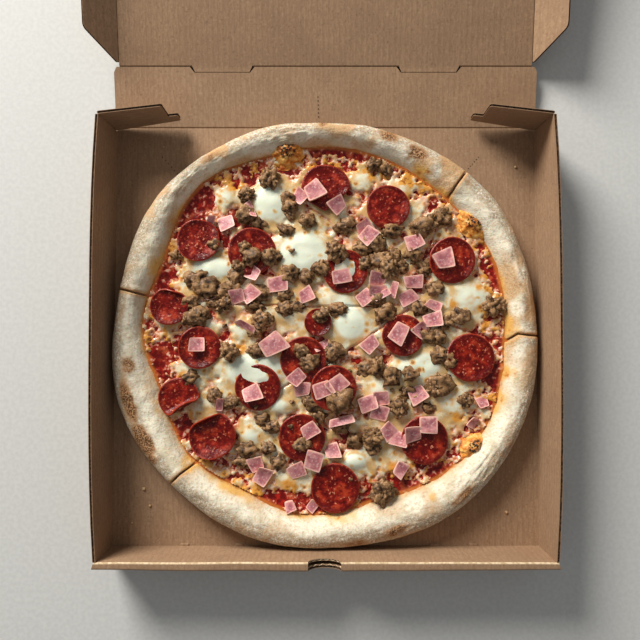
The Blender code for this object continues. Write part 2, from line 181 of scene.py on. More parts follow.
# Blisters of thin dough: middle x and y, half length, half width, turn, foot and height
BLISTERS = (
    (-30.0, 141.0, 16.5, 13.0, 8, 9.6, 10.0),
    (113.0, -85.8, 15.5, 10.8, 42, 9.4, 8.6),
    (113.8, 84.6, 17.5, 10.4, -46, 10.6, 8.6),
)
# Browned cheese: middle x and y, and size
BAKED_SPOTS = (
    (54, 113, 4), (64, 106, 4), (141, -2, 6), (-92, -96, 7), (95, -50, 7), (111, 26, 6), (99, 22, 4),
    (118, 35, 4), (-27, -115, 6), (52, -104, 6), (-118, 66, 6), (-122, 40, 6), (64, -122, 5),
    (-100, 30, 4), (120, -52, 5), (36, 122, 4), (-52, 12, 5), (-66, -12, 5), (88, -78, 4), (100, -64, 4),
    (-40, 118, 4), (-142, 0, 5), (75, 123, 7), (66, 128, 5), (-133, 54, 7), (-64, -121, 7),
    (-54, -124, 5), (-44, -128, 4), (141, 8, 5), (-136, 40, 5), (-116, -86, 4), (-75, 118, 6),
    (-60, 124, 5), (84, 112, 5), (-98, -86, 5),
)
# Pools of molten cheese: middle x and y, half width, half depth and strength
CHEESE_POOLS = (
    (-43, 102, 13, 15, 3.2), (-18, 62, 19, 17, 3.6), (-87, 51, 18, 9, 2.8), (-78, 107, 8, 8, 1.6),
    (-64, 3, 8, 8, 1.6), (-54, -28, 23, 13, 3.6), (19, 8, 13, 13, 3.0), (27, 119, 8, 8, 1.4),
    (57, 112, 10, 8, 1.4), (77, -24, 13, 12, 2.4), (111, 28, 17, 12, 2.0), (40, -43, 9, 8, 1.8),
    (95, -52, 12, 10, 1.8), (22, -97, 9, 6, 3.2), (-14, -71, 9, 8, 2.4), (-27, -83, 8, 8, 2.0),
    (-39, -54, 14, 6, 2.0), (-58, -77, 8, 8, 1.8), (-27, -112, 8, 5, 1.2), (46, 36, 12, 8, 1.5),
    (-30, 15, 14, 6, 1.5), (10, 26, 14, 8, 1.6), (84, 8, 9, 8, 1.4), (-100, -34, 7, 7, 0.8),
    (60, -28, 9, 8, 1.8), (14, 50, 12, 12, 3.4), (-88, -24, 8, 8, 1.0),
)
# Sauce without cheese: middle x and y, half width and half depth
BARE_SAUCE = (
    (2, 146, 22, 7), (32, 140, 20, 7), (135, 44, 9, 16), (110, -92, 9, 18), (92, -106, 16, 8),
    (-34, -125, 18, 8), (-6, -129, 18, 7), (-128, 44, 10, 12), (-112, 92, 12, 12), (-96, 104, 12, 10),
    (-128, -20, 9, 14), (-108, -72, 9, 12), (-70, 90, 7, 9), (-5, -8, 9, 9), (128, -30, 9, 12),
    (-30, 128, 12, 5), (-57, 82, 9, 6), (62, -116, 14, 7),
)

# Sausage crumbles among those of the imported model: middle x and y and width
CRUMBLES = (
    (-62, 93, 14), (-51, 86, 11), (-30, 106, 11), (-27, 99, 12), (-28, 94, 10), (-14, 87, 14),
    (-31, 80, 11), (16, 84, 15), (37, 131, 13), (46, 128, 11), (74, 82, 16), (90, 91, 15), (37, 70, 17),
    (51, 80, 14), (-116, 61, 9), (-86, 69, 10), (-100, 43, 16), (-92, 36, 18), (-69, 45, 14),
    (-79, 32, 13), (-104, 25, 12), (-98, 14, 17), (-107, 11, 12), (-62, 66, 10), (-57, 59, 15),
    (-42, 59, 13), (-27, 47, 14), (-15, 44, 12), (-4, 51, 14), (10, 62, 14), (-49, 31, 14), (-31, 31, 14),
    (-56, 22, 13), (-31, 19, 12), (-22, 21, 12), (-3, 14, 12), (9, 19, 12), (-54, 2, 11), (-53, -13, 12),
    (-19, -13, 12), (-13, -22, 15), (6, -14, 15), (42, 57, 16), (66, 62, 13), (76, 51, 14), (46, 49, 12),
    (84, 35, 14), (40, 27, 12), (45, 16, 15), (72, 20, 12), (103, 14, 14), (94, 9, 11), (78, -1, 14),
    (87, -2, 13), (87, -16, 14), (95, -20, 12), (30, -27, 12), (39, -27, 12), (51, -33, 14),
    (64, -31, 12), (87, -39, 17), (56, -54, 14), (79, -56, 11), (-10, -52, 15), (11, -50, 19),
    (-5, -63, 12), (-18, -84, 12), (-48, -66, 12), (-42, -71, 13), (-60, -88, 14), (-44, -87, 12),
    (-36, -98, 12), (-62, -98, 12), (22, -82, 13), (36, -86, 13), (11, -71, 12), (-103, -33, 11),
    (-85, -47, 11), (-72, -52, 12), (54, 60, 12), (-72, 36, 11), (-86, 24, 12), (62, -44, 11),
    (70, -50, 10), (-68, 52, 10), (58, 52, 12), (30, 54, 11), (28, 66, 12),
)
STRAY_CRUMBS = (
    (-136, -133), (103, -142), (-150, -146), (140, -138), (-128, 148), (150, 132), (-141, -120),
)
SMALL_CRUMBLES = 26
TOPPED_RADIUS = 122
# A crumble's joined lobes and its grains
LOBE_SIZE = 5.6
GRAIN_SIZE = 2.6
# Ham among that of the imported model: middle x and y, width, length and turn
DICE = (
    (-77, 86, 14, 12, 20), (-90, 84, 17, 6, 70), (-58, 96, 15, 6, -65), (-20, 106, 12, 12, 50),
    (9, 99, 14, 13, 35), (30, 82, 14, 12, 25), (-56, 47, 12, 12, 60), (-58, 31, 15, 13, 35),
    (-68, 29, 13, 12, 15), (-15, 30, 13, 12, 25), (12, 44, 16, 12, 10), (30, 28, 14, 12, 40),
    (40, 42, 14, 12, -10), (40, 34, 16, 7, 10), (43, 30, 15, 6, 30), (52, 34, 14, 6, 75),
    (63, 28, 15, 12, 30), (83, 22, 14, 9, -25), (82, 11, 16, 12, 15), (73, 3, 13, 12, 45),
    (34, -8, 15, 12, 40), (-1, -8, 19, 7, 25), (-61, 6, 18, 6, -30), (-98, -8, 13, 12, 0),
    (-86, 30, 16, 6, 20), (-81, -54, 11, 6, 80), (-56, -45, 16, 13, 20), (-22, -33, 14, 12, 45),
    (-18, -42, 14, 12, 5), (-2, -42, 17, 13, 20), (42, -49, 14, 12, 5), (41, -60, 15, 13, -15),
    (-12, -73, 15, 12, 30), (5, -89, 13, 12, 15), (-22, -104, 15, 12, 20), (-48, -108, 15, 13, 60),
    (-53, -99, 13, 12, 25), (70, -46, 15, 14, 30), (66, -76, 14, 13, 10), (48, -74, 13, 13, 40),
    (56, -80, 15, 12, -20), (-27, -131, 9, 9, 20), (-10, -131, 10, 8, 50), (120, -52, 10, 9, 20),
    (113, -68, 10, 8, 60),
)


def rgb(code):
    """An sRGB hex colour as linear red, green, blue and alpha."""
    parts = [int(code[i:i + 2], 16) / 255 for i in (0, 2, 4)]
    return [p / 12.92 if p <= 0.04045 else ((p + 0.055) / 1.055) ** 2.4 for p in parts] + [1.0]


def add(tree, kind, inputs, out=0, **settings):
    """Adds a node and returns one of its outputs. An input is a value or another node's output."""
    made = tree.nodes.new(kind)
    for name, value in settings.items():
        setattr(made, name, value)
    for name, value in inputs.items():
        if isinstance(value, bpy.types.NodeSocket):
            tree.links.new(value, made.inputs[name])
        else:
            made.inputs[name].default_value = value
    return made.outputs[out]


NOISE, BANDS, CELLS = "ShaderNodeTexNoise", "ShaderNodeTexWave", "ShaderNodeTexVoronoi"
PATTERN_OUTPUT = {NOISE: "Fac", BANDS: "Fac", CELLS: "Distance"}
EVEN = (1, 1, 1)


def make_material(name, base, patterns, layers, relief, roughness, **surface):
    """A Principled material: a base colour, colours laid over it in turn, relief and roughness.

    A pattern is a texture, its size in millimetres, its inputs, and if needed its stretch and its
    settings. A layer is a colour, its strength, and the patterns or attributes it shows in, each
    with the values where it starts and is full. Relief is a pattern, its height in millimetres and
    its strength. Roughness is a pattern, its range, and the roughness at both ends of that.
    """
    made = bpy.data.materials.new(name)
    made.use_nodes = True
    tree = made.node_tree
    shader = tree.nodes["Principled BSDF"].inputs
    for key, value in surface.items():
        shader[key.replace("_", " ")].default_value = value
    place = add(tree, "ShaderNodeTexCoord", {}, out="Object")
    found = {}
    for key, pattern in patterns.items():
        kind, size, inputs, stretch, settings = pattern + (EVEN, {})[len(pattern) - 3:]
        scale = [1 / (size * MM * way) for way in stretch]
        mapped = add(tree, "ShaderNodeMapping", {"Vector": place, "Scale": scale})
        inputs = {"Vector": mapped, "Scale": 1.0, **inputs}
        found[key] = add(tree, kind, inputs, out=PATTERN_OUTPUT[kind], **settings)
    for key in sorted({mask[0] for layer in layers for mask in layer[2:]} - set(found)):
        found[key] = add(tree, "ShaderNodeAttribute", {}, out="Fac", attribute_name=key)
    colour = rgb(base)
    for over, share, *masks in layers:
        for key, low, high in masks:
            span = {"Value": found[key], "From Min": low, "From Max": high, "To Max": share}
            share = add(tree, "ShaderNodeMapRange", span, interpolation_type="SMOOTHSTEP")
        mixed = {0: share, 6: colour, 7: rgb(over)}
        colour = add(tree, "ShaderNodeMix", mixed, out=2, data_type="RGBA")
    tree.links.new(colour, shader["Base Color"])
    under = {}
    for key, height, strength in relief:
        inputs = {"Height": found[key], "Distance": height * MM, "Strength": strength, **under}
        under = {"Normal": add(tree, "ShaderNodeBump", inputs)}
    tree.links.new(under["Normal"], shader["Normal"])
    key, low, high, first, last = roughness
    span = {"Value": found[key], "From Min": low, "From Max": high, "To Min": first, "To Max": last}
    tree.links.new(add(tree, "ShaderNodeMapRange", span), shader["Roughness"])
    return made


def kraft_liner(name, across):
    """Kraft linerboard, brown paper off a machine: matt, faintly fibrous, ribbed by its flutes."""
    along = [4, 4, 4]
    along["XYZ".index(across)] = 1
    waves_of_flutes = {"Scale": math.tau / 20, "Distortion": 0.5, "Detail": 1.0}
    patterns = {
        "fibres": (NOISE, 1.3, {"Detail": 4.0}, along),
        "clouds": (NOISE, 34, {"Detail": 3.0}),
        "flecks": (NOISE, 1.8, {"Detail": 3.0}),
        "ribs": (BANDS, FLUTE_PITCH, waves_of_flutes, EVEN, {"bands_direction": across}),
    }
    layers = (
        ("A18061", 0.8, ("fibres", 0.36, 0.66)),
        ("896A4F", 0.45, ("clouds", 0.40, 0.68)),
        ("6A5138", 0.5, ("flecks", 0.60, 0.72)),
        ("B19170", 0.4, ("flecks", 0.42, 0.30)),
        ("806347", 0.22, ("ribs", 0.6, 1.0)),
    )
    relief = (("ribs", 0.06, 0.5), ("flecks", 0.12, 0.45))
    return make_material(name, "927256", patterns, layers, relief, ("flecks", 0.3, 0.7, 0.82, 0.92))


def fluting_paper():
    """Recycled fluting paper at a die-cut edge: rough, and dark with the shade of its cells."""
    patterns = {"grain": (NOISE, 1.4, {"Detail": 3.0})}
    layers = (("735438", 1.0, ("grain", 0.38, 0.66)),)
    return make_material(
        "fluting_paper", "2A1B10", patterns, layers, (("grain", 0.2, 0.5),), ("grain", 0.3, 0.7, 0.9, 1.0)
    )


def pale_kraft_and_highlight():
    """Kraft liner along a pressed fold: its fibres are rubbed paler, and it is lighter still as a painted
    highlight.
    """
    patterns = {"worn": (NOISE, 2.2, {"Detail": 4.0})}
    layers = (("DEC7A4", 1.0, ("worn", 0.36, 0.64)),)
    return make_material(
        "creased_kraft_and_highlight", "BCA07A", patterns, layers, (("worn", 0.1, 0.6),), ("worn", 0.3, 0.7, 0.7, 0.85)
    )


def baked_dough():
    """Baked wheat dough dusted with flour: matt cream, tan where browned, ochre next to the sauce,
    with speckled char on its blisters."""
    patterns = {
        "broad": (NOISE, 15, {"Detail": 4.0}),
        "flour": (NOISE, 2.0, {"Detail": 5.0}),
        "speckle": (NOISE, 1.0, {"Detail": 3.0}),
    }
    layers = (
        ("E4DAC4", 1.0, ("broad", 0.40, 0.60)),
        # Painted light: lightens the rim's inner slope against the shade that the lamp leaves on it
        ("ECE3CC", 0.75, ("pale", 0.0, 1.0), ("broad", 0.34, 0.50)),
        ("A8957B", 0.9, ("dusty", 0.0, 1.0), ("flour", 0.22, 0.60)),
        ("EDE8DC", 0.85, ("dusty", 0.0, 0.7), ("speckle", 0.54, 0.64)),
        ("8A6D4C", 0.7, ("dusty", 0.1, 0.9), ("speckle", 0.44, 0.34)),
        ("C4AA88", 0.55, ("flour", 0.50, 0.66)),
        ("C79E70", 1.0, ("toast", 0.0, 1.0), ("flour", -0.3, 0.60)),
        ("A97D52", 0.6, ("toast", 0.3, 1.0), ("speckle", 0.50, 0.60)),
        ("DDA856", 0.95, ("gold", 0.0, 1.0), ("broad", -0.2, 0.55)),
        ("BE7230", 0.9, ("stain", 0.0, 1.0), ("flour", 0.2, 0.62)),
        ("B08258", 0.95, ("char", 0.05, 0.7), ("flour", 0.0, 0.5)),
        ("553620", 0.95, ("char", 0.2, 0.9), ("speckle", 0.42, 0.56)),
    )
    relief = (("flour", 0.7, 0.6), ("speckle", 0.3, 0.5))
    return make_material(
        "baked_wheat_dough", "D8CAAE", patterns, layers, relief, ("flour", 0.3, 0.7, 0.82, 0.95),
        Subsurface_Weight=0.15, Subsurface_Scale=0.004, Specular_IOR_Level=0.15,
    )


def blistered_dough():
    """Dough blown up into thin blisters with fat on them: glossy gold, orange and charred dots."""
    patterns = {
        "skin": (NOISE, 4.2, {"Detail": 5.0}),
        "speckle": (NOISE, 2.1, {"Detail": 2.0}),
    }
    layers = (
        ("F0BE6C", 0.9, ("skin", 0.50, 0.36)),
        ("D07A26", 0.95, ("skin", 0.46, 0.60)),
        ("A8421A", 0.9, ("skin", 0.58, 0.70)),
        ("EED9AE", 0.8, ("edge", 0.60, 1.0)),
        ("8F4A1C", 0.7, ("char", 0.2, 0.9), ("skin", 0.3, 0.55)),
        ("170D08", 1.0, ("char", 0.35, 0.8), ("speckle", 0.49, 0.56)),
    )
    return make_material(
        "blistered_dough", "E89C44", patterns, layers, (("skin", 1.0, 1.6),),
        ("skin", 0.3, 0.7, 0.42, 0.6),
        Specular_IOR_Level=0.35,
    )


def tomato_sauce():
    """Reduced tomato sauce with a film of oil: dark red, wet and pulpy."""
    patterns = {
        "pulp": (NOISE, 3.6, {"Detail": 5.0}),
        "fat": (NOISE, 8, {"Detail": 4.0}),
    }
    layers = (
        ("A01C0E", 1.0, ("pulp", 0.40, 0.62)),
        ("B9502A", 0.7, ("fat", 0.55, 0.68)),
        ("DF9C7C", 0.75, ("pulp", 0.55, 0.64), ("fat", 0.36, 0.52)),
        ("E6BEA6", 0.8, ("pulp", 0.62, 0.68), ("fat", 0.40, 0.54)),
        ("C4702C", 0.8, ("edge", 0.3, 1.0)),
    )
    return make_material(
        "tomato_sauce", "640A05", patterns, layers, (("pulp", 0.9, 0.7),), ("fat", 0.3, 0.7, 0.24, 0.42),
        Specular_IOR_Level=0.26,
    )


def melted_mozzarella():
    """Melted mozzarella: milky and slightly clear, creamy and greasy where thin, with brown flecks."""
    patterns = {
        "milk": (NOISE, 9, {"Detail": 4.0}),
        "fine": (NOISE, 2.3, {"Detail": 4.0}),
        "bubbles": (CELLS, 7.5, {"Randomness": 0.9}),
    }
    layers = (
        ("E2DABC", 1.0, ("milk", 0.42, 0.62)),
        ("DAA45A", 0.55, ("fine", 0.53, 0.68)),
        ("E2E6D0", 1.0, ("pool", 0.0, 1.0)),
        ("E0A94C", 0.8, ("bubbles", 0.42, 0.24), ("milk", 0.44, 0.54)),
        ("A35E26", 0.9, ("bubbles", 0.26, 0.14), ("milk", 0.46, 0.56)),
        ("D88E5C", 0.95, ("thin", 0.10, 0.85)),
        ("ECCDBB", 0.85, ("thin", 0.15, 0.75), ("fine", 0.50, 0.60)),
        ("A93A20", 0.8, ("thin", 0.45, 1.0), ("fine", 0.47, 0.36)),
        ("DB9636", 0.95, ("baked", 0.10, 0.60)),
        ("8A4517", 0.95, ("baked", 0.40, 0.95), ("fine", 0.47, 0.62)),
    )
    return make_material(
        "melted_mozzarella", "CDA870", patterns, layers, (("fine", 0.4, 0.3),),
        ("milk", 0.3, 0.7, 0.28, 0.44),
        Subsurface_Weight=0.2, Subsurface_Scale=0.004, Subsurface_Radius=(1.0, 0.6, 0.35),
        Specular_IOR_Level=0.4, Coat_Weight=0.1,
    )


def cured_pepperoni():
    """Cured pepperoni, sliced and roasted: deep red and greasy, with small paler grains of fat."""
    patterns = {
        "mottle": (NOISE, 6, {"Detail": 4.0}),
        "grains": (NOISE, 1.9, {"Detail": 3.0}),
    }
    layers = (
        ("88160A", 1.0, ("mottle", 0.38, 0.62)),
        ("AE3C1C", 0.75, ("mottle", 0.52, 0.70)),
        ("B3502E", 0.75, ("grains", 0.57, 0.67)),
        ("D69C80", 0.7, ("grains", 0.64, 0.72)),
        ("3C0503", 0.7, ("grains", 0.43, 0.34)),
        ("4A0504", 0.6, ("edge", 0.70, 0.90)),
        # Painted light: a brighter orange-red lip, standing in for light glowing through the thin edge
        ("A8361C", 0.8, ("edge", 0.93, 1.0)),
    )
    relief = (("mottle", 0.7, 0.5), ("grains", 0.6, 0.8))
    return make_material(
        "cured_pepperoni", "5A0804", patterns, layers, relief, ("mottle", 0.3, 0.7, 0.24, 0.46),
        Specular_IOR_Level=0.24,
    )


def cooked_ham():
    """Cooked pressed ham, diced: mauve pink and moist, painted lighter along its edges and sides and
    darker in the middle of its top, as light and shade.
    """
    patterns = {
        "mottle": (NOISE, 5, {"Detail": 4.0}),
        "grain": (NOISE, 1.8, {"Detail": 3.0}),
    }
    layers = (
        ("D4918E", 1.0, ("mottle", 0.40, 0.62)),
        ("95545F", 0.6, ("mottle", 0.44, 0.30)),
        # Painted shade: darker towards the middle of the top, so the dice read thick
        ("93555F", 0.6, ("edge", 0.75, 0.1)),
        ("E9C3BE", 0.5, ("grain", 0.53, 0.68)),
        # Painted light: paler along the edges and over the sides
        ("F2BFAC", 0.9, ("edge", 0.74, 1.0)),
    )
    relief = (("mottle", 0.5, 0.5), ("grain", 0.25, 0.5))
    return make_material(
        "cooked_ham", "B66C6E", patterns, layers, relief, ("grain", 0.3, 0.7, 0.38, 0.55),
        Subsurface_Weight=0.12, Subsurface_Scale=0.003, Specular_IOR_Level=0.3,
    )


def browned_sausage():
    """Browned crumbled sausage: coarse, grainy and brown, with painted shade between its grains."""
    patterns = {
        "mottle": (NOISE, 5, {"Detail": 4.0}),
        "grain": (NOISE, 1.5, {"Detail": 4.0}),
    }
    layers = (
        ("98714A", 1.0, ("mottle", 0.36, 0.58)),
        ("C7A07A", 0.75, ("grain", 0.52, 0.68)),
        ("45280F", 0.4, ("grain", 0.42, 0.32)),
        # Painted shade in the seams between lobes and between grains
        ("221206", 1.0, ("crevice", 0.15, 0.95)),
    )
    relief = (("grain", 0.5, 0.55),)
    return make_material(
        "browned_sausage", "66472C", patterns, layers, relief, ("grain", 0.3, 0.7, 0.42, 0.66),
        Specular_IOR_Level=0.22,
    )


def backdrop_paper():
    """Seamless matt background paper."""
    patterns = {"tooth": (NOISE, 3.0, {"Detail": 3.0})}
    layers = (("CBCAC6", 1.0, ("tooth", 0.3, 0.7)),)
    return make_material(
        "backdrop_paper", "C3C2BE", patterns, layers, (("tooth", 0.1, 0.2),),
        ("tooth", 0.3, 0.7, 0.85, 0.95),
    )


LINER_X = kraft_liner("kraft_linerboard", "X")
LINER_Z = kraft_liner("kraft_linerboard_walls", "Z")
FLUTING = fluting_paper()
PALE_KRAFT_AND_HIGHLIGHT = pale_kraft_and_highlight()
DOUGH = baked_dough()
BLISTER = blistered_dough()
SAUCE = tomato_sauce()
CHEESE = melted_mozzarella()
PEPPERONI = cured_pepperoni()
HAM = cooked_ham()
SAUSAGE = browned_sausage()


def make_piece(name, bm, looks, smooth=None, recalculate=True):
    """A named object in metres from a bmesh in millimetres."""
    if recalculate:
        bmesh.ops.recalc_face_normals(bm, faces=bm.faces[:])
    bmesh.ops.scale(bm, verts=bm.verts, vec=(MM, MM, MM))
    mesh = bpy.data.meshes.new(name)
    bm.to_mesh(mesh)
    bm.free()
    if smooth is not None:
        mesh.shade_smooth()
        mesh.set_sharp_from_angle(angle=math.radians(smooth))
    made = bpy.data.objects.new(name, mesh)
    bpy.context.scene.collection.objects.link(made)
    for look in looks:
        mesh.materials.append(look)
    return made


def on_body(piece, body, slot, *nodes):
    """Puts a finished piece on its body, hiding the nodes that it replaces; its slot is not used."""
    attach(piece, body)
    if nodes:
        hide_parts(*nodes)


def nodes_of(kind):
    """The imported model's nodes whose names start with a word, in order."""
    return [name for name in sorted(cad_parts) if name.startswith(kind)]


def heading(degrees):
    """The cosine and the sine of an angle in degrees."""
    return math.cos(math.radians(degrees)), math.sin(math.radians(degrees))


def step(value, low, high):
    """A smooth rise from 0 at low to 1 at high."""
    share = np.clip((value - low) / (high - low), 0, 1)
    return share * share * (3 - 2 * share)


def humps(points, size, seed):
    """Smooth noise from about -1 to 1 at flat or solid points, with humps about size across."""
    shift = Vector((7.3 * seed, 3.1 * seed, 5.7 * seed))
    return np.array([noise.noise(Vector(p).to_3d() / size + shift) for p in points])


def waves(angle, table):
    """The sum of waves round the pizza."""
    return sum(size * np.cos(count * angle - math.radians(phase)) for count, size, phase in table)


def outer_edge(angle):
    """The rim's outer radius, held inside the walls and clear of the upright rear panel."""
    edge = OUTER_RADIUS + waves(angle, OUTER_WAVES)
    side = (OUTER_REACH - abs(PIZZA_X)) / np.maximum(np.abs(np.cos(angle)), 1e-6)
    reach = np.where(np.sin(angle) > 0, REAR_REACH, OUTER_REACH)
    end = (reach - abs(PIZZA_Y)) / np.maximum(np.abs(np.sin(angle)), 1e-6)
    excess = np.clip(edge - end, -20, 20)
    pressed = edge - REAR_SOFTNESS * np.log(1 + np.exp(excess / REAR_SOFTNESS))
    return np.minimum(np.where(np.sin(angle) > 0, pressed, np.minimum(edge, end)), side)


def inner_edge(angle):
    """The rim's inner radius, where the sauce starts."""
    return INNER_RADIUS + waves(angle, INNER_WAVES)


def rim_share(at):
    """How far each point is from the pizza's middle, as a share of the way to its rim."""
    x, y = at[:, 0] - PIZZA_X, at[:, 1] - PIZZA_Y
    return np.hypot(x, y) / inner_edge(np.arctan2(y, x))


def cut_distance(at):
    """How far each point is from the nearest wheel cut."""
    nearest = np.full(len(at), 1e3)
    for run in CUTS:
        for a, b in zip(run, run[1:]):
            a, b = np.array(a, float), np.array(b, float)
            share = np.clip(((at - a) @ (b - a)) / ((b - a) @ (b - a)), 0, 1)
            nearest = np.minimum(nearest, np.hypot(*(at - a - share[:, None] * (b - a)).T))
    return nearest


def spots(at, table):
    """The strongest of round patches, given as middle x and y, size and strength."""
    found = np.zeros(len(at))
    for x, y, size, strength in table:
        far = ((at[:, 0] - x) ** 2 + (at[:, 1] - y) ** 2) / size ** 2
        found = np.maximum(found, strength * np.exp(-far))
    return found


def rim_marks(at, table):
    """The strongest of oval patches laid along the rim."""
    found = np.zeros(len(at))
    for x, y, along, across, strength in table:
        turn = math.atan2(y - PIZZA_Y, x - PIZZA_X)
        dx, dy = at[:, 0] - x, at[:, 1] - y
        out = (dx * math.cos(turn) + dy * math.sin(turn)) / across
        round_rim = (dy * math.cos(turn) - dx * math.sin(turn)) / along
        found = np.maximum(found, strength * np.exp(-(out ** 2 + round_rim ** 2) ** RIM_MARK_POWER))
    return found


def ovals(at, table):
    """The sum of oval patches, given as middle x and y, half width, half depth and strength."""
    found = np.zeros(len(at))
    for x, y, wide, deep, strength in table:
        far = ((at[:, 0] - x) / wide) ** 2 + ((at[:, 1] - y) / deep) ** 2
        found += strength * np.exp(-far ** OVAL_POWER)
    return found


def fill_marks(bm, marks):
    """Writes a value for each vertex into the attributes that a material reads."""
    layers = {key: bm.verts.layers.float.new(key) for key in marks}
    for i, vertex in enumerate(bm.verts):
        for key, layer in layers.items():
            vertex[layer] = float(marks[key][i])


def make_crust():
    """The rim and the base under the sauce, as one closed skin turned round the pizza's middle."""
    bm = bmesh.new()
    bmesh.ops.create_grid(bm, x_segments=CRUST_GRID[0], y_segments=CRUST_GRID[1], size=0.5)
    flat = np.array([v.co[:2] for v in bm.verts]) + 0.5
    # Columns stand closer together beside the wheel cuts
    turn = np.linspace(-math.pi, math.pi, 3601)
    dense = np.ones(len(turn))
    for run in CUTS:
        end = max(run, key=lambda p: math.hypot(*p))
        if math.hypot(*end) > INNER_RADIUS:
            away = np.angle(np.exp(1j * (turn - math.atan2(end[1], end[0]))))
            dense += 5 * np.exp(-(away / 0.02) ** 2)
    spread = np.concatenate([[0], np.cumsum((dense[1:] + dense[:-1]) / 2)])
    angle = np.interp(flat[:, 0], spread / spread[-1], turn)
    # The section is smoothed, and its rows stand closer together where they show
    section = np.array(RIM_SECTION)
    sideways = np.diff(section[:, :2] @ SECTION_RADII)
    stops = np.concatenate([[0], np.cumsum(np.hypot(sideways, np.diff(section[:, 2])) + 1.5)])
    fine = np.linspace(0, stops[-1], SECTION_STEPS)
    curve = np.array([np.interp(fine, stops, column) for column in section.T])
    kernel = np.hanning(2 * SMOOTHING + 1)
    padded = np.pad(curve, ((0, 0), (SMOOTHING, SMOOTHING)), mode="edge")
    curve = np.array([np.convolve(row, kernel / kernel.sum(), mode="valid") for row in padded])
    lengths = np.hypot(np.diff(SECTION_RADII @ curve[:2]), np.diff(curve[2]))
    shown = curve[0, 1:] + curve[1, 1:] > 0.93
    walked = np.concatenate([[0], np.cumsum(lengths * np.where(shown, 1.0, HIDDEN_SHARE))])
    along = np.interp(flat[:, 1], walked / walked[-1], fine)
    share_out, share_in, height = (np.interp(along, fine, row) for row in curve)
    outer, inner = outer_edge(angle), inner_edge(angle)
    radius = share_out * outer + share_in * inner
    at = np.c_[PIZZA_X + radius * np.cos(angle), PIZZA_Y + radius * np.sin(angle)]
    # Lumps, wrinkles and the grooves of the wheel cuts
    upper = step(height, 6, 14)
    back = step(at[:, 1], 120, 165)
    swell = 1 + 0.09 * humps(1.9 * np.c_[np.cos(angle), np.sin(angle)], 1, 3)
    solid = np.c_[at, height]
    lumps = 1.0 * humps(solid, 17, 1) + 0.6 * humps(solid, 7, 2) + 0.3 * humps(solid, 3, 4)
    crease = 1 - np.abs(humps(np.c_[angle * 11, along / 2.3], 1, 5))
    wrinkled = 0.2 + spots(at, WRINKLED)
    height = CRUST_FOOT + (height - CRUST_FOOT) * (1 + (swell - 1) * upper)
    height += upper * (lumps + 0.9 * back)
    height += upper * wrinkled * 0.9 * (step(crease, 0.78, 1.0) - 0.3)
    gap = cut_distance(at)
    on_rim = step(radius / inner, 0.93, 0.98)
    groove = CUT_DEPTH * np.exp(-(gap / CUT_HALF_WIDTH) ** 2)
    lip = 0.35 * np.exp(-((gap - 3) / 2) ** 2)
    height -= on_rim * step(height, 5, 9) * (groove - lip)
    # What the dough's material reads: fat and sauce on the inner slope, toast, char, flour and painted
    # light
    crest = fine[np.argmax(curve[2])]
    slope = step(along, crest, crest + 1)
    low_side = 1 - step(height, 4, 9.5)
    edge_share = (outer - radius) / (outer - inner)
    patch = humps(solid, 9, 8)
    run_up = rim_marks(at, GOLDEN_PLACES) * (0.8 + 0.7 * humps(solid, 5, 14))
    gold = slope * (0.55 * step(edge_share, 0.82 + 0.18 * patch, 1.0) * (0.8 + 0.6 * patch) + run_up)
    seeped = step(run_up + humps(solid, 3, 15), 0.9, 1.4)
    stain = slope * (step(edge_share, 0.92 + 0.08 * patch, 1.05) + seeped)
    broad = spots(at, TOASTED)
    toast = (0.36 + broad) * step(humps(solid, 15, 11) + 0.6 * broad, 0.0, 0.5)
    toast += 0.6 * low_side + 0.8 * on_rim * np.exp(-((gap - 1.2) / 1.8) ** 2)
    char = rim_marks(at, CHAR_SPOTS) * (1 + 0.5 * humps(solid, 4, 13))
    char += 0.22 * step(humps(solid, 8, 12), 0.42, 0.7)
    # Painted light: the inner slope below the crest is lightened against the shade that the lamp leaves
    # on it
    pale = slope * (1 - step(edge_share, 0.75, 0.95))
    dusty = (1 - step(edge_share + 0.1 * patch, 0.28, 0.62)) * on_rim
    for i, vertex in enumerate(bm.verts):
        vertex.co = (at[i, 0], at[i, 1], max(height[i], CRUST_LOWEST))
    marks = {"gold": gold, "stain": stain, "toast": toast, "char": char, "pale": pale, "dusty": dusty}
    fill_marks(bm, {key: np.clip(value, 0, 1) for key, value in marks.items()})
    bmesh.ops.remove_doubles(bm, verts=bm.verts, dist=MERGE)
    on_body(make_piece("baked_crust", bm, [DOUGH], 180), "tray", "crust", "dough")


def make_blisters():
    """Domes of thin dough that blew up where the rim meets the sauce, with charred middles."""
    bm = bmesh.new()
    marks = {key: bm.verts.layers.float.new(key) for key in ("edge", "char")}
    for number, (x, y, long, wide, turn, foot, height) in enumerate(BLISTERS):
        cos, sin = heading(turn)
        shift = Vector((number * 7.0, 2.0, 5.0))
        for vertex in bmesh.ops.create_icosphere(bm, subdivisions=6, radius=1)["verts"]:
            point = vertex.co.copy()
            flat = math.hypot(point.x, point.y)
            ridges = 1 - abs(noise.noise(point * 3.2 + shift))
            swell = 1 + 0.2 * noise.noise(point * 1.9 + shift) + 0.16 * (ridges - 0.8)
            swell += 0.07 * noise.noise(point * 6 + shift)
            u, v = point.x * long * swell, point.y * wide * swell
            u, v = u * cos - v * sin, u * sin + v * cos
            outward = (u * x + v * y) / math.hypot(x, y) / wide
            vertex[marks["edge"]] = min(1.0, max(0.0, outward + 0.3 * noise.noise(point * 3 + shift)))
            vertex[marks["char"]] = max(0.0, 1 - (flat / 0.66) ** 2)
            level = (0.5 + 0.5 * math.cos(math.pi * flat)) ** 0.8 * height * swell if point.z > 0 else -1
            vertex.co = (x + u, y + v, foot + level)
    on_body(make_piece("baked_blisters", bm, [BLISTER], 180), "tray", "crust")


def sauce_height(at):
    """The height of the sauce, which is pulpy and climbs a little at the rim."""
    climb = step(rim_share(at), 0.93, 1.02)
    return SAUCE_LEVEL + 0.55 * humps(at, 8, 21) + 0.3 * humps(at, 3.4, 22) + 2.6 * climb


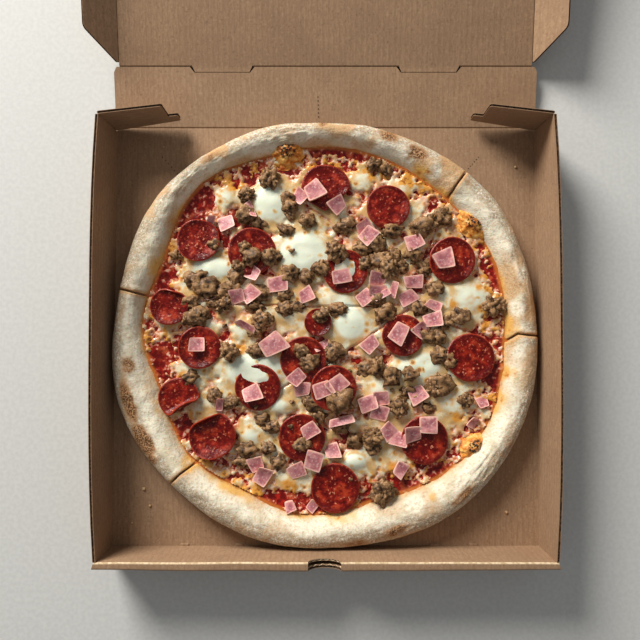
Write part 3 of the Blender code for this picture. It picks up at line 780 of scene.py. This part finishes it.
def cheese_cover(at):
    """How thick the cheese lies, from 0 for bare sauce to 1."""
    rim = step(rim_share(at), 0.76, 0.95)
    ragged = 0.42 * humps(at, 24, 31) + 0.3 * humps(at, 10, 32) + 0.22 * humps(at, 4.2, 33)
    mottle = 0.5 * humps(at, 7, 34) + 0.55 * humps(at, 3.6, 35) + 0.4 * humps(at, 2.1, 36)
    bare = ovals(at, [(x, y, 0.75 * wide, 0.75 * deep, 1.0) for x, y, wide, deep in BARE_SAUCE])
    pools = ovals(at, CHEESE_POOLS)
    cover = 0.52 + (1.1 - 0.5 * rim) * ragged + 0.9 * rim * mottle + 0.5 * pools - 0.08 * rim - bare
    return step(cover, 0.0, 0.62)


def cheese_height(at):
    """The height of the cheese, with its pools, its ripples and the wheel cuts."""
    cover = cheese_cover(at)
    flowed = ovals(at, CHEESE_POOLS)
    ripple = (0.7 * humps(at, 9, 41) + 0.34 * humps(at, 3.6, 42)) / (1 + flowed)
    pools = np.minimum(flowed, 3.2) * (1 + 0.2 * humps(at, 9, 43))
    rim = rim_share(at)
    thick = 3.8 - 0.9 * step(rim, 0.80, 0.95)
    height = SAUCE_LEVEL - 1.6 + thick * cover + cover * (pools + ripple) + 2.5 * step(rim, 0.92, 1.01)
    return height - 1.5 * np.exp(-(cut_distance(at) / 0.8) ** 2)


def make_layer(name, node, look, heights, marks_at, cells, half, share, foot):
    """A closed layer inside the rim: its top follows heights, and its foot is flat."""
    bm = bmesh.new()
    bmesh.ops.create_grid(bm, x_segments=cells, y_segments=cells, size=half)
    bmesh.ops.translate(bm, verts=bm.verts, vec=(PIZZA_X, PIZZA_Y, 0))
    at = np.array([v.co[:2] for v in bm.verts])
    outside = rim_share(at) > share
    bmesh.ops.delete(bm, geom=[v for v, out in zip(bm.verts, outside) if out], context="VERTS")
    bmesh.ops.delete(bm, geom=[e for e in bm.edges if not e.link_faces], context="EDGES")
    bmesh.ops.delete(bm, geom=[v for v in bm.verts if not v.link_faces], context="VERTS")
    at = np.array([v.co[:2] for v in bm.verts])
    tops = heights(at)
    for vertex, top in zip(bm.verts, tops):
        vertex.co.z = top
    fill_marks(bm, marks_at(at, tops))
    border = [e for e in bm.edges if e.is_boundary]
    for part in bmesh.ops.extrude_edge_only(bm, edges=border)["geom"]:
        if isinstance(part, bmesh.types.BMVert):
            part.co.z = foot
    bmesh.ops.holes_fill(bm, edges=[e for e in bm.edges if e.is_boundary], sides=0)
    on_body(make_piece(name, bm, [look], 80), "tray", node, node)


def sauce_marks(at, tops):
    """Where the sauce is browned next to the rim."""
    return {"edge": step(rim_share(at), 0.965, 1.0)}


def cheese_marks(at, tops):
    """Where the cheese is thin, browned or a pool."""
    over = tops - sauce_height(at)
    fleck = humps(at, 3, 51)
    near_rim = step(rim_share(at), 0.72, 0.95)
    baked = spots(at, [(x, y, size, 1.0) for x, y, size in BAKED_SPOTS]) * (0.75 + 0.6 * fleck)
    baked = np.maximum(baked, near_rim * 0.8 * step(humps(at, 7, 52) + 0.5 * fleck, 0.12, 0.5))
    pool = step(ovals(at, CHEESE_POOLS), 0.7, 2.2)
    baked = np.clip(baked * (1 - 0.6 * pool), 0, 1)
    return {"thin": 1 - step(over, 0.3, 2.4), "baked": baked, "pool": pool}


SLICES = nodes_of("pepperoni")


def box_mm(node):
    """The low and the high corner of a node's box."""
    low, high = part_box(node)
    return np.array(low) / MM, np.array(high) / MM


def ground(x, y):
    """The height of what lies at a place: the cheese, the sauce or a slice of pepperoni."""
    at = np.array([[x, y]], float)
    height = max(float(cheese_height(at)[0]), float(sauce_height(at)[0]))
    for node in SLICES:
        low, high = box_mm(node)
        middle = (low + high) / 2
        if math.hypot(x - middle[0], y - middle[1]) < 0.42 * (high[0] - low[0]):
            height = max(height, low[2] + SLICE_TOP)
    return height


# How slices differ: the height of the curled edge, the way it faces, straight trims as directions
# with their reach, and a fold as its direction, start, greatest angle and radius
SLICE_SHAPES = {
    "pepperoni_01": {"curl": 1.2, "trim": ((0.66, -0.75, 13.0), (-0.5, -0.87, 15.5))},
    "pepperoni_12": {"curl": 2.6, "turn": 200},
    "pepperoni_13": {"curl": 2.4, "turn": 230, "fold": (75, 8.5, 150, 3.2)},
    "pepperoni_14": {"curl": 3.0, "turn": 240},
    "pepperoni_18": {"curl": 2.6, "turn": 300, "fold": (-60, 3.0, 120, 4.5)},
    "pepperoni_19": {"curl": 5.0, "turn": 250, "fold": (115, 9.0, 75, 4.0)},
    "pepperoni_06": {"curl": 2.0, "turn": 320},
    "pepperoni_05": {"curl": 1.4, "turn": 280},
    "pepperoni_03": {"curl": 2.2, "turn": 60},
    "pepperoni_04": {"curl": 1.8, "turn": 270},
}


def make_slice(node, number):
    """A slice of pepperoni in place of a node: a thin disc, curled at its edge, some folded over."""
    low, high = box_mm(node)
    middle = (low + high) / 2
    full = (high[0] - low[0]) / 2
    shape = SLICE_SHAPES.get(node, {"curl": 1.6, "turn": 40 * number})
    bm = bmesh.new()
    bmesh.ops.create_grid(bm, x_segments=64, y_segments=34, size=0.5)
    flat = np.array([v.co[:2] for v in bm.verts]) + 0.5
    angle = 2 * math.pi * flat[:, 0]
    share = np.interp(flat[:, 1], (0, 0.12, 0.44, 0.5, 0.56, 1.0), (0, 0.7, 0.97, 1.0, 0.96, 0))
    lift = np.interp(flat[:, 1], (0, 0.44, 0.5, 0.56, 1.0), (-0.9, -0.9, 0.1, 1.0, 1.0))
    wobble = humps(np.c_[np.cos(angle), np.sin(angle), 0 * angle + 3.7 * number], 0.8, 61)
    reach = full * (0.985 + 0.03 * wobble)
    for nx, ny, limit in shape.get("trim", ()):
        towards = np.cos(angle) * nx + np.sin(angle) * ny
        reach = np.where(towards > 0.05, np.minimum(reach, limit / np.maximum(towards, 0.05)), reach)
    x, y = share * reach * np.cos(angle), share * reach * np.sin(angle)
    at = np.c_[x + middle[0], y + middle[1]]
    uneven = 0.75 + 0.45 * np.cos(angle - math.radians(shape.get("turn", 0)))
    cup = shape["curl"] * share ** 3.2 * (uneven + 0.35 * np.cos(3 * angle + number))
    ripple = (0.35 * humps(at, 7, 62) + 0.22 * humps(at, 2.8, 63)) * (0.3 + share)
    height = cup + ripple - 0.2
    thick = lift * (1 - 0.2 * share)
    if "fold" in shape:
        way, start, most, bend = shape["fold"]
        dx, dy = heading(way)
        run = x * dx + y * dy
        past = np.maximum(run - start, 0)
        turned = np.minimum(past / bend, math.radians(most))
        rest = past - bend * turned
        cos, sin = np.cos(turned), np.sin(turned)
        moved = np.minimum(run, start) + bend * sin + rest * cos - thick * sin
        height = height * cos + bend * (1 - cos) + rest * sin + thick * cos
        x, y = x + (moved - run) * dx, y + (moved - run) * dy
    else:
        height = height + thick
    for i, vertex in enumerate(bm.verts):
        level = max(low[2] + SLICE_MIDDLE + height[i], low[2] - SLICE_SINK)
        vertex.co = (middle[0] + x[i], middle[1] + y[i], level)
    fill_marks(bm, {"edge": np.clip(share, 0, 1)})
    bmesh.ops.remove_doubles(bm, verts=bm.verts, dist=MERGE)
    on_body(make_piece(f"{node}_slice", bm, [PEPPERONI], 60), "tray", "pepperoni", node)


def shape_crumble(bm, mark, middle, size, foot, seed, level):
    """One crumble of sausage: a rough lump of joined grains, with its base pressed flat."""
    made = bmesh.ops.create_icosphere(bm, subdivisions=level, radius=1)["verts"]
    spread = random.Random(seed)
    turn = Matrix.Rotation(spread.uniform(0, math.tau), 3, "Z")
    turn = turn @ Matrix.Rotation(spread.uniform(-0.5, 0.5), 3, "X")
    reach = max(size) / 2
    shift = Vector((seed * 3.3, 1, 2))
    for vertex in made:
        point = vertex.co.copy()
        broad = noise.noise(point * 1.25 + shift) + 0.5 * noise.noise(point * 2.5 - shift)
        warped = point * reach / LOBE_SIZE + shift + noise.noise_vector(point * 2) * 0.35
        near, second = noise.voronoi(warped)[0][:2]
        fine, beyond = noise.voronoi(point * reach / GRAIN_SIZE + shift)[0][:2]
        seam = 1 - min(1, (second - near) / 0.3)
        groove = 1 - min(1, (beyond - fine) / 0.35)
        # The seams between lobes and between grains are marked for painted shade
        vertex[mark] = max(0.0, min(1.0, 0.75 * seam * seam + 0.4 * groove * groove))
        swell = 0.92 + 0.42 * broad + 0.4 * (0.5 - near) - 0.16 * seam * seam
        swell += (0.35 * (0.45 - fine) - 0.18 * groove * groove) * GRAIN_SIZE / reach
        co = turn @ point * max(swell, 0.4)
        level = foot + (max(co.z, -0.5) + 0.5) / 1.5 * size[2]
        vertex.co = (middle[0] + co.x * size[0] / 2, middle[1] + co.y * size[1] / 2, level)


def make_node_crumbles():
    """The largest crumbles, in place of the model's own."""
    for number, node in enumerate(nodes_of("sausage")):
        low, high = box_mm(node)
        size = (high - low) * (1.12, 1.12, 1) + (0, 0, 1.8)
        bm = bmesh.new()
        mark = bm.verts.layers.float.new("crevice")
        shape_crumble(bm, mark, (low + high) / 2, size, low[2] - 1.0, number + 3, 4)
        on_body(make_piece(f"{node}_crumble", bm, [SAUSAGE], 180), "tray", "sausage", node)


def make_crumbles():
    """Smaller crumbles among those of the model."""
    bm = bmesh.new()
    mark = bm.verts.layers.float.new("crevice")
    spread = random.Random(5)
    for number, (x, y, size) in enumerate(CRUMBLES):
        tall = size * spread.uniform(0.36, 0.52)
        wide, deep = size * spread.uniform(1.08, 1.32), size * spread.uniform(0.95, 1.2)
        shape_crumble(bm, mark, (x, y), (wide, deep, tall + 1), ground(x, y) - 1.2, number + 40, 3)
    for number in range(SMALL_CRUMBLES):
        x, y = spread.gauss(-5, 58), spread.gauss(-2, 50)
        if math.hypot(x, y) < TOPPED_RADIUS:
            size = spread.uniform(4.0, 7.5)
            sizes = (size, size * 0.8, size * 0.6)
            shape_crumble(bm, mark, (x, y), sizes, ground(x, y) - 0.6, number + 200, 2)
    on_body(make_piece("sausage_crumbles", bm, [SAUSAGE], 180), "tray", "sausage")


def ham_die(middle, size, turn, foot, seed, cuts, tip):
    """One die of ham: a slab with sharp cut sides, whose face dips and whose corners lift."""
    spread = random.Random(seed)
    bm = bmesh.new()
    bmesh.ops.create_cube(bm, size=2)
    bmesh.ops.subdivide_edges(bm, edges=bm.edges[:], cuts=cuts, use_grid_fill=True)
    mark = bm.verts.layers.float.new("edge")
    skew = [(spread.uniform(-0.17, 0.17), spread.uniform(-0.17, 0.17)) for _ in range(3)]
    bow, twist = spread.uniform(-0.3, 1.9), spread.uniform(-0.9, 0.9)
    lean = spread.uniform(-tip, tip), spread.uniform(-tip, tip)
    cos, sin = heading(turn)
    for vertex in bm.verts:
        u, v, w = vertex.co
        edge = max(abs(u), abs(v))
        round_off = 1 - 0.05 * (abs(u) * abs(v)) ** 6
        x = u * (1 + skew[0][0] * v) * round_off + skew[1][0] * 0.5 * v
        y = v * (1 + skew[0][1] * u) * round_off + skew[2][0] * 0.4 * u
        point = Vector((u * size[0] / 2, v * size[1] / 2, seed * 9.1))
        wave = noise.noise(point / 4.5) * 0.5
        dip = -0.35 * (1 - edge ** 2) * (w > 0.9)
        curl = bow * (u * u) + twist * u * v + lean[0] * u + lean[1] * v
        # Marks the edges and sides for painted light and the top's middle for painted shade
        vertex[mark] = edge if w > -0.9 else 0.0
        x, y = x * size[0] / 2, y * size[1] / 2
        height = (w + 1) / 2 * size[2] * (1 - 0.06 * edge ** 8) + dip + wave + curl
        vertex.co = (middle[0] + x * cos - y * sin, middle[1] + x * sin + y * cos, foot + height)
    return bm


def slab_of(node):
    """The turn, width and length of a slab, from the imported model's own mesh."""
    points = np.array([v.co[:2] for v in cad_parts[node].data.vertices]) / MM
    best = None
    for turn in range(0, 90, 3):
        cos, sin = heading(turn)
        turned = points @ np.array([[cos, -sin], [sin, cos]])
        size = turned.max(0) - turned.min(0)
        if best is None or size[0] * size[1] < best[1] * best[2]:
            best = (turn, size[0], size[1])
    return best


def make_node_ham():
    """The largest dice, in place of the model's own."""
    for number, node in enumerate(nodes_of("ham")):
        low, high = box_mm(node)
        turn, wide, deep = slab_of(node)
        size = (0.9 * wide, 0.9 * deep, high[2] - low[2] + 0.4)
        bm = ham_die((low + high) / 2, size, turn, low[2] - 0.5, number + 1, 9, 1.2)
        on_body(make_piece(f"{node}_die", bm, [HAM], 50), "tray", "ham", node)


def make_dice():
    """Further dice and strips of ham among those of the model."""
    bm = bmesh.new()
    passed = bpy.data.meshes.new("one_die")
    for number, (x, y, wide, deep, turn) in enumerate(DICE):
        size = (0.88 * wide, 0.88 * deep, 3.0 if deep > 8 else 2.4)
        die = ham_die((x, y), size, turn, ground(x, y) + 0.3, number + 50, 6, 2.2)
        die.to_mesh(passed)
        die.free()
        bm.from_mesh(passed)
    bpy.data.meshes.remove(passed)
    on_body(make_piece("ham_dice", bm, [HAM], 50), "tray", "ham")


def in_millimetres(mesh):
    """A bmesh of a mesh, in millimetres and with its points merged."""
    bm = bmesh.new()
    bm.from_mesh(mesh)
    bmesh.ops.scale(bm, verts=bm.verts, vec=(1 / MM, 1 / MM, 1 / MM))
    bmesh.ops.remove_doubles(bm, verts=bm.verts, dist=1e-3)
    return bm


def copied(node):
    """A bmesh of a node, with its flat faces whole."""
    bm = in_millimetres(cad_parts[node].data)
    flat = math.radians(0.5)
    bmesh.ops.dissolve_limit(bm, angle_limit=flat, verts=bm.verts, edges=bm.edges, delimit=set())
    return bm


def open_flutes(bm, faces):
    """Sinks the middle of cut edges between the two liners."""
    if not faces:
        return
    bmesh.ops.inset_region(bm, faces=faces, thickness=LINER, use_even_offset=True)
    grown = bmesh.ops.extrude_face_region(bm, geom=faces)["geom"]
    floors = [g for g in grown if isinstance(g, bmesh.types.BMFace)]
    for vertex in {v for f in floors for v in f.verts}:
        inward = sum((f.normal for f in vertex.link_faces if f in floors), Vector())
        vertex.co -= inward.normalized() * FLUTE_DEPTH
    bmesh.ops.delete(bm, geom=[f for f in faces if f.is_valid], context="FACES_ONLY")
    # The sunk middle takes the dark fluting paper, painted shade of the open cells
    for face in floors:
        if face.is_valid:
            face.material_index = 1
            for edge in face.edges:
                for other in edge.link_faces:
                    if other not in floors:
                        other.material_index = 1


def thin_faces(bm, facing):
    """The faces across the board's thickness, whose normals lie in the board's plane."""
    found = []
    for face in bm.faces:
        if abs(face.normal.dot(facing)) < 0.05:
            spans = [(v.co - face.calc_center_median()).dot(facing) for v in face.verts]
            if max(spans) - min(spans) > BOARD * 0.8:
                found.append(face)
    return found


def shows_flutes(node, face):
    """Whether a face across a board was cut with a die, and isn't a fold."""
    if node == "rear_panel":
        return abs(face.normal.x) > 0.3 or face.calc_center_median().y > REAR_PANEL_CUT
    return node != "lid"


def make_boards():
    """The rear panel, the lid, its flaps and the corner tabs, with open flutes along cut edges."""
    boards = (
        ("rear_panel", "rear_panel", LINER_X),
        ("lid", "lid", LINER_X),
        ("lid_flap_left", "flap_left", LINER_X),
        ("lid_flap_right", "flap_right", LINER_X),
        ("lid_flap_front", "flap_front", LINER_X),
        ("corner_tab_left", "tab_left", LINER_Z),
        ("corner_tab_right", "tab_right", LINER_Z),
    )
    for node, body, liner in boards:
        bm = copied(node)
        bm.normal_update()
        facing = max(bm.faces, key=lambda f: f.calc_area()).normal.copy()
        open_flutes(bm, [f for f in thin_faces(bm, facing) if shows_flutes(node, f)])
        on_body(make_piece(f"{node}_board", bm, [liner, FLUTING], 30), body, "board", node)


def make_tray():
    """The tray up to its front wall, with open flutes along the tops of its side walls."""
    bm = copied("tray")
    bmesh.ops.bisect_plane(
        bm, geom=bm.verts[:] + bm.edges[:] + bm.faces[:], dist=MERGE,
        plane_co=(0, FRONT_INNER + 0.05, 0), plane_no=(0, -1, 0), clear_outer=True,
    )
    bmesh.ops.holes_fill(bm, edges=[e for e in bm.edges if e.is_boundary], sides=0)
    bmesh.ops.recalc_face_normals(bm, faces=bm.faces[:])
    rims = [f for f in bm.faces if f.normal.z > 0.9 and f.calc_center_median().z > WALL_TOP - 1]
    open_flutes(bm, rims)
    for face in bm.faces:
        if face.material_index == 0 and abs(face.normal.x) > 0.8:
            face.material_index = 2
    tray = make_piece("tray_board", bm, [LINER_X, FLUTING, LINER_Z], 30)
    on_body(tray, "tray", "board", "tray")


def make_front_wall():
    """The front wall: one board rolled over, down inside and out, with a hollow between."""
    inside, outside, bend = FRONT_INNER - ROLL_RADIUS, FRONT_OUTER + ROLL_RADIUS, WALL_TOP - ROLL_RADIUS
    arc = [heading(90 * i / 6) for i in range(7)]
    outline = [(FRONT_INNER, 0.0)]
    outline += [(inside + ROLL_RADIUS * cos, bend + ROLL_RADIUS * sin) for cos, sin in arc]
    outline += [(outside - ROLL_RADIUS * sin, bend + ROLL_RADIUS * cos) for cos, sin in arc]
    outline += [(FRONT_OUTER, 0.0)]
    hollow_out, hollow_in = FRONT_OUTER + ROLL_BOARD, FRONT_INNER - ROLL_BOARD
    ceiling = WALL_TOP - ROLL_BOARD
    outline += [(hollow_out, 0.0), (hollow_out, ceiling), (hollow_in, ceiling), (hollow_in, 0.0)]
    bm = bmesh.new()
    ring = [bm.verts.new((-FRONT_HALF_LENGTH, y, z)) for y, z in outline]
    face = bm.faces.new(ring)
    for number in range(FRONT_CELLS):
        grown = bmesh.ops.extrude_face_region(bm, geom=[face])["geom"]
        if number:
            bmesh.ops.delete(bm, geom=[face], context="FACES_ONLY")
        face = next(g for g in grown if isinstance(g, bmesh.types.BMFace))
        bmesh.ops.translate(bm, verts=face.verts, vec=(2 * FRONT_HALF_LENGTH / FRONT_CELLS, 0, 0))
    for vertex in bm.verts:
        share = vertex.co.x / FRONT_HALF_LENGTH
        vertex.co.x += share * FRONT_END_SLANT * max(0, FRONT_INNER - vertex.co.y)
        if vertex.co.z < 1 and vertex.co.y > FRONT_INNER - ROLL_BOARD - 0.1:
            vertex.co.z = FLOOR_TOP - 0.4
        if vertex.co.z > 3:
            vertex.co.y += 0.35 * noise.noise(Vector((vertex.co.x / 40, 3.0, vertex.co.z / 60)))
        outward = max(0, FRONT_INNER - 2 - vertex.co.y) / (FRONT_INNER - 2 - FRONT_OUTER)
        vertex.co.y -= FRONT_BOW * (1 - share ** 2) * outward
    # The blank gets its notch from an elliptical cutter, and neither is kept
    blank = make_piece("front_wall_blank", bm, [LINER_X])

    bm = bmesh.new()
    bmesh.ops.create_cone(bm, cap_ends=True, segments=64, radius1=1, radius2=1, depth=1)
    bmesh.ops.rotate(bm, verts=bm.verts, matrix=Matrix.Rotation(math.radians(90), 3, "X"))
    bmesh.ops.scale(bm, verts=bm.verts, vec=(NOTCH_HALF_WIDTH, 30, NOTCH_DEPTH))
    bmesh.ops.translate(bm, verts=bm.verts, vec=(NOTCH_MIDDLE, (FRONT_INNER + FRONT_OUTER) / 2, WALL_TOP))
    cutter = make_piece("notch_cutter", bm, [FLUTING])
    cut = blank.modifiers.new("thumb_notch", "BOOLEAN")
    cut.object = cutter
    cut.operation = "DIFFERENCE"
    seen = blank.evaluated_get(bpy.context.evaluated_depsgraph_get())
    bm = in_millimetres(bpy.data.meshes.new_from_object(seen))
    bpy.data.objects.remove(cutter)
    bpy.data.objects.remove(blank)
    bm.normal_update()
    arcs = []
    for face in bm.faces:
        face.material_index = 0
        x, y, z = face.calc_center_median()
        reach = math.hypot((x - NOTCH_MIDDLE) / NOTCH_HALF_WIDTH, (z - WALL_TOP) / NOTCH_DEPTH)
        if abs(reach ** 2 - 1) < 0.08 and abs(face.normal.y) < 0.1 and z < WALL_TOP - 0.4:
            arcs.append(face)
        # The top of the inner roll takes the pale kraft: a rubbed fold with a painted highlight
        elif face.normal.z > 0.3 and z > WALL_TOP - ROLL_RADIUS and y > FRONT_INNER - 1.3:
            face.material_index = 2
    open_flutes(bm, arcs)
    looks = [LINER_X, FLUTING, PALE_KRAFT_AND_HIGHLIGHT]
    on_body(make_piece("front_wall_board", bm, looks, 35, recalculate=False), "tray", "board")


def make_notch_flutes():
    """The wavy middle paper that shows between the liners around the thumb notch."""
    bm = bmesh.new()
    for middle in (FRONT_INNER - ROLL_BOARD / 2, FRONT_OUTER + ROLL_BOARD / 2):
        made = bmesh.ops.create_grid(bm, x_segments=160, y_segments=2, size=0.5)["verts"]
        for vertex in made:
            turn = math.radians(190 + 160 * (vertex.co.x + 0.5))
            deep = 1 + 0.1 * (vertex.co.y + 0.5)
            walked = turn * (NOTCH_HALF_WIDTH + NOTCH_DEPTH) / 2
            sway = (ROLL_BOARD / 2 - LINER) * math.sin(math.tau * walked / FLUTE_PITCH)
            vertex.co = (
                NOTCH_MIDDLE + NOTCH_HALF_WIDTH * deep * math.cos(turn),
                middle + sway,
                WALL_TOP + NOTCH_DEPTH * deep * math.sin(turn),
            )
    piece = make_piece("notch_fluting", bm, [PALE_KRAFT_AND_HIGHLIGHT], 60)
    thick = piece.modifiers.new("paper", "SOLIDIFY")
    thick.thickness = 0.22 * MM
    thick.offset = 0
    on_body(piece, "tray", "board")


def make_small_parts():
    """Lock tabs along the foot of the front wall, rows of perforation and stray crumbs."""
    bm = bmesh.new()
    for x in LOCK_TABS:
        made = bmesh.ops.create_cube(bm, size=1)["verts"]
        bmesh.ops.scale(bm, verts=made, vec=(6.5, 2.0, 1.1))
        bmesh.ops.translate(bm, verts=made, vec=(x, FRONT_INNER + 0.8, FLOOR_TOP + 0.4))
    bmesh.ops.bevel(
        bm, geom=bm.edges[:], offset=0.4, segments=3, profile=0.5, material=-1, affect="EDGES"
    )
    on_body(make_piece("front_wall_lock_tabs", bm, [LINER_X], 40), "tray", "board")

    # The perforations are dark dots of fluting paper on the board: painted shade of the holes
    rows = (
        ("floor_perforation", "tray", (-129, 140), (-117, 127)),
        ("floor_perforation_right", "tray", (121, 140), (113, 131)),
        ("rear_panel_perforation", "rear_panel", (-5.5, 172), (-6.0, 187)),
    )
    low, high = box_mm("rear_panel")
    rise = (high[2] - low[2] - BOARD) / (high[1] - low[1])
    for name, body, first, last in rows:
        bm = bmesh.new()
        for i in range(6):
            x = first[0] + (last[0] - first[0]) * i / 5
            y = first[1] + (last[1] - first[1]) * i / 5
            z = FLOOR_TOP if body == "tray" else low[2] + BOARD + rise * (y - low[1])
            made = bmesh.ops.create_uvsphere(bm, u_segments=12, v_segments=8, radius=0.55)["verts"]
            bmesh.ops.scale(bm, verts=made, vec=(1, 1, 0.3))
            bmesh.ops.translate(bm, verts=made, vec=(x, y, z))
        on_body(make_piece(name, bm, [FLUTING], 60), body, "board")

    bm = bmesh.new()
    spread = random.Random(9)
    for x, y in STRAY_CRUMBS:
        made = bmesh.ops.create_icosphere(bm, subdivisions=3, radius=spread.uniform(0.7, 1.3))["verts"]
        for vertex in made:
            vertex.co *= 1 + 0.35 * noise.noise(vertex.co * 1.4 + Vector((x, y, 0)))
            vertex.co.z *= 0.7
        bmesh.ops.translate(bm, verts=made, vec=(x, y, FLOOR_TOP + 0.6))
    fill_marks(bm, {"toast": np.ones(len(bm.verts))})
    on_body(make_piece("crumbs", bm, [DOUGH], 60), "tray", "crust")


def make_stage():
    """A plain pale floor, one wide soft lamp and an even pale surround."""
    bm = bmesh.new()
    bmesh.ops.create_grid(bm, x_segments=1, y_segments=1, size=3000)
    bmesh.ops.translate(bm, verts=bm.verts, vec=(0, 0, -0.2))
    make_piece("pale_floor", bm, [backdrop_paper()], recalculate=False)

    data = bpy.data.lights.new("window_light", "AREA")
    data.shape = "DISK"
    data.size = LAMP_SIZE
    data.energy = LAMP_POWER
    data.color = rgb("FFFDF8")[:3]
    lamp = bpy.data.objects.new("window_light", data)
    lamp.location = LAMP_PLACE
    lamp.rotation_euler = (-lamp.location).to_track_quat("-Z", "Y").to_euler()
    bpy.context.scene.collection.objects.link(lamp)
    world = bpy.data.worlds.new("studio")
    world.use_nodes = True
    sky = world.node_tree.nodes["Background"].inputs
    sky["Color"].default_value = rgb("F2F4F6")
    sky["Strength"].default_value = SKY_STRENGTH
    bpy.context.scene.world = world
    bpy.context.scene.view_settings.view_transform = "Standard"


def make_camera():
    """The camera that the photograph was taken with."""
    data = bpy.data.cameras.new("photo_camera")
    data.sensor_fit = "HORIZONTAL"
    data.sensor_width = SENSOR
    data.lens = FOCAL_PIXELS / PHOTO_SIDE * SENSOR
    data.clip_start = 0.01
    camera = bpy.data.objects.new("photo_camera", data)
    camera.location = Vector(CAMERA_PLACE) * MM
    camera.rotation_euler = (math.radians(CAMERA_TILT), 0, 0)
    bpy.context.scene.collection.objects.link(camera)
    bpy.context.scene.camera = camera


make_camera()
make_stage()
make_boards()
make_tray()
make_front_wall()
make_notch_flutes()
make_small_parts()
make_crust()
make_blisters()
make_layer(
    "tomato_sauce", "sauce", SAUCE, sauce_height, sauce_marks,
    cells=190, half=148, share=1.03, foot=SAUCE_FOOT,
)
make_layer(
    "melted_cheese", "cheese", CHEESE, cheese_height, cheese_marks,
    cells=300, half=146, share=0.995, foot=CHEESE_FOOT,
)
for position, slice_node in enumerate(SLICES):
    make_slice(slice_node, position)
make_node_crumbles()
make_crumbles()
make_node_ham()
make_dice()
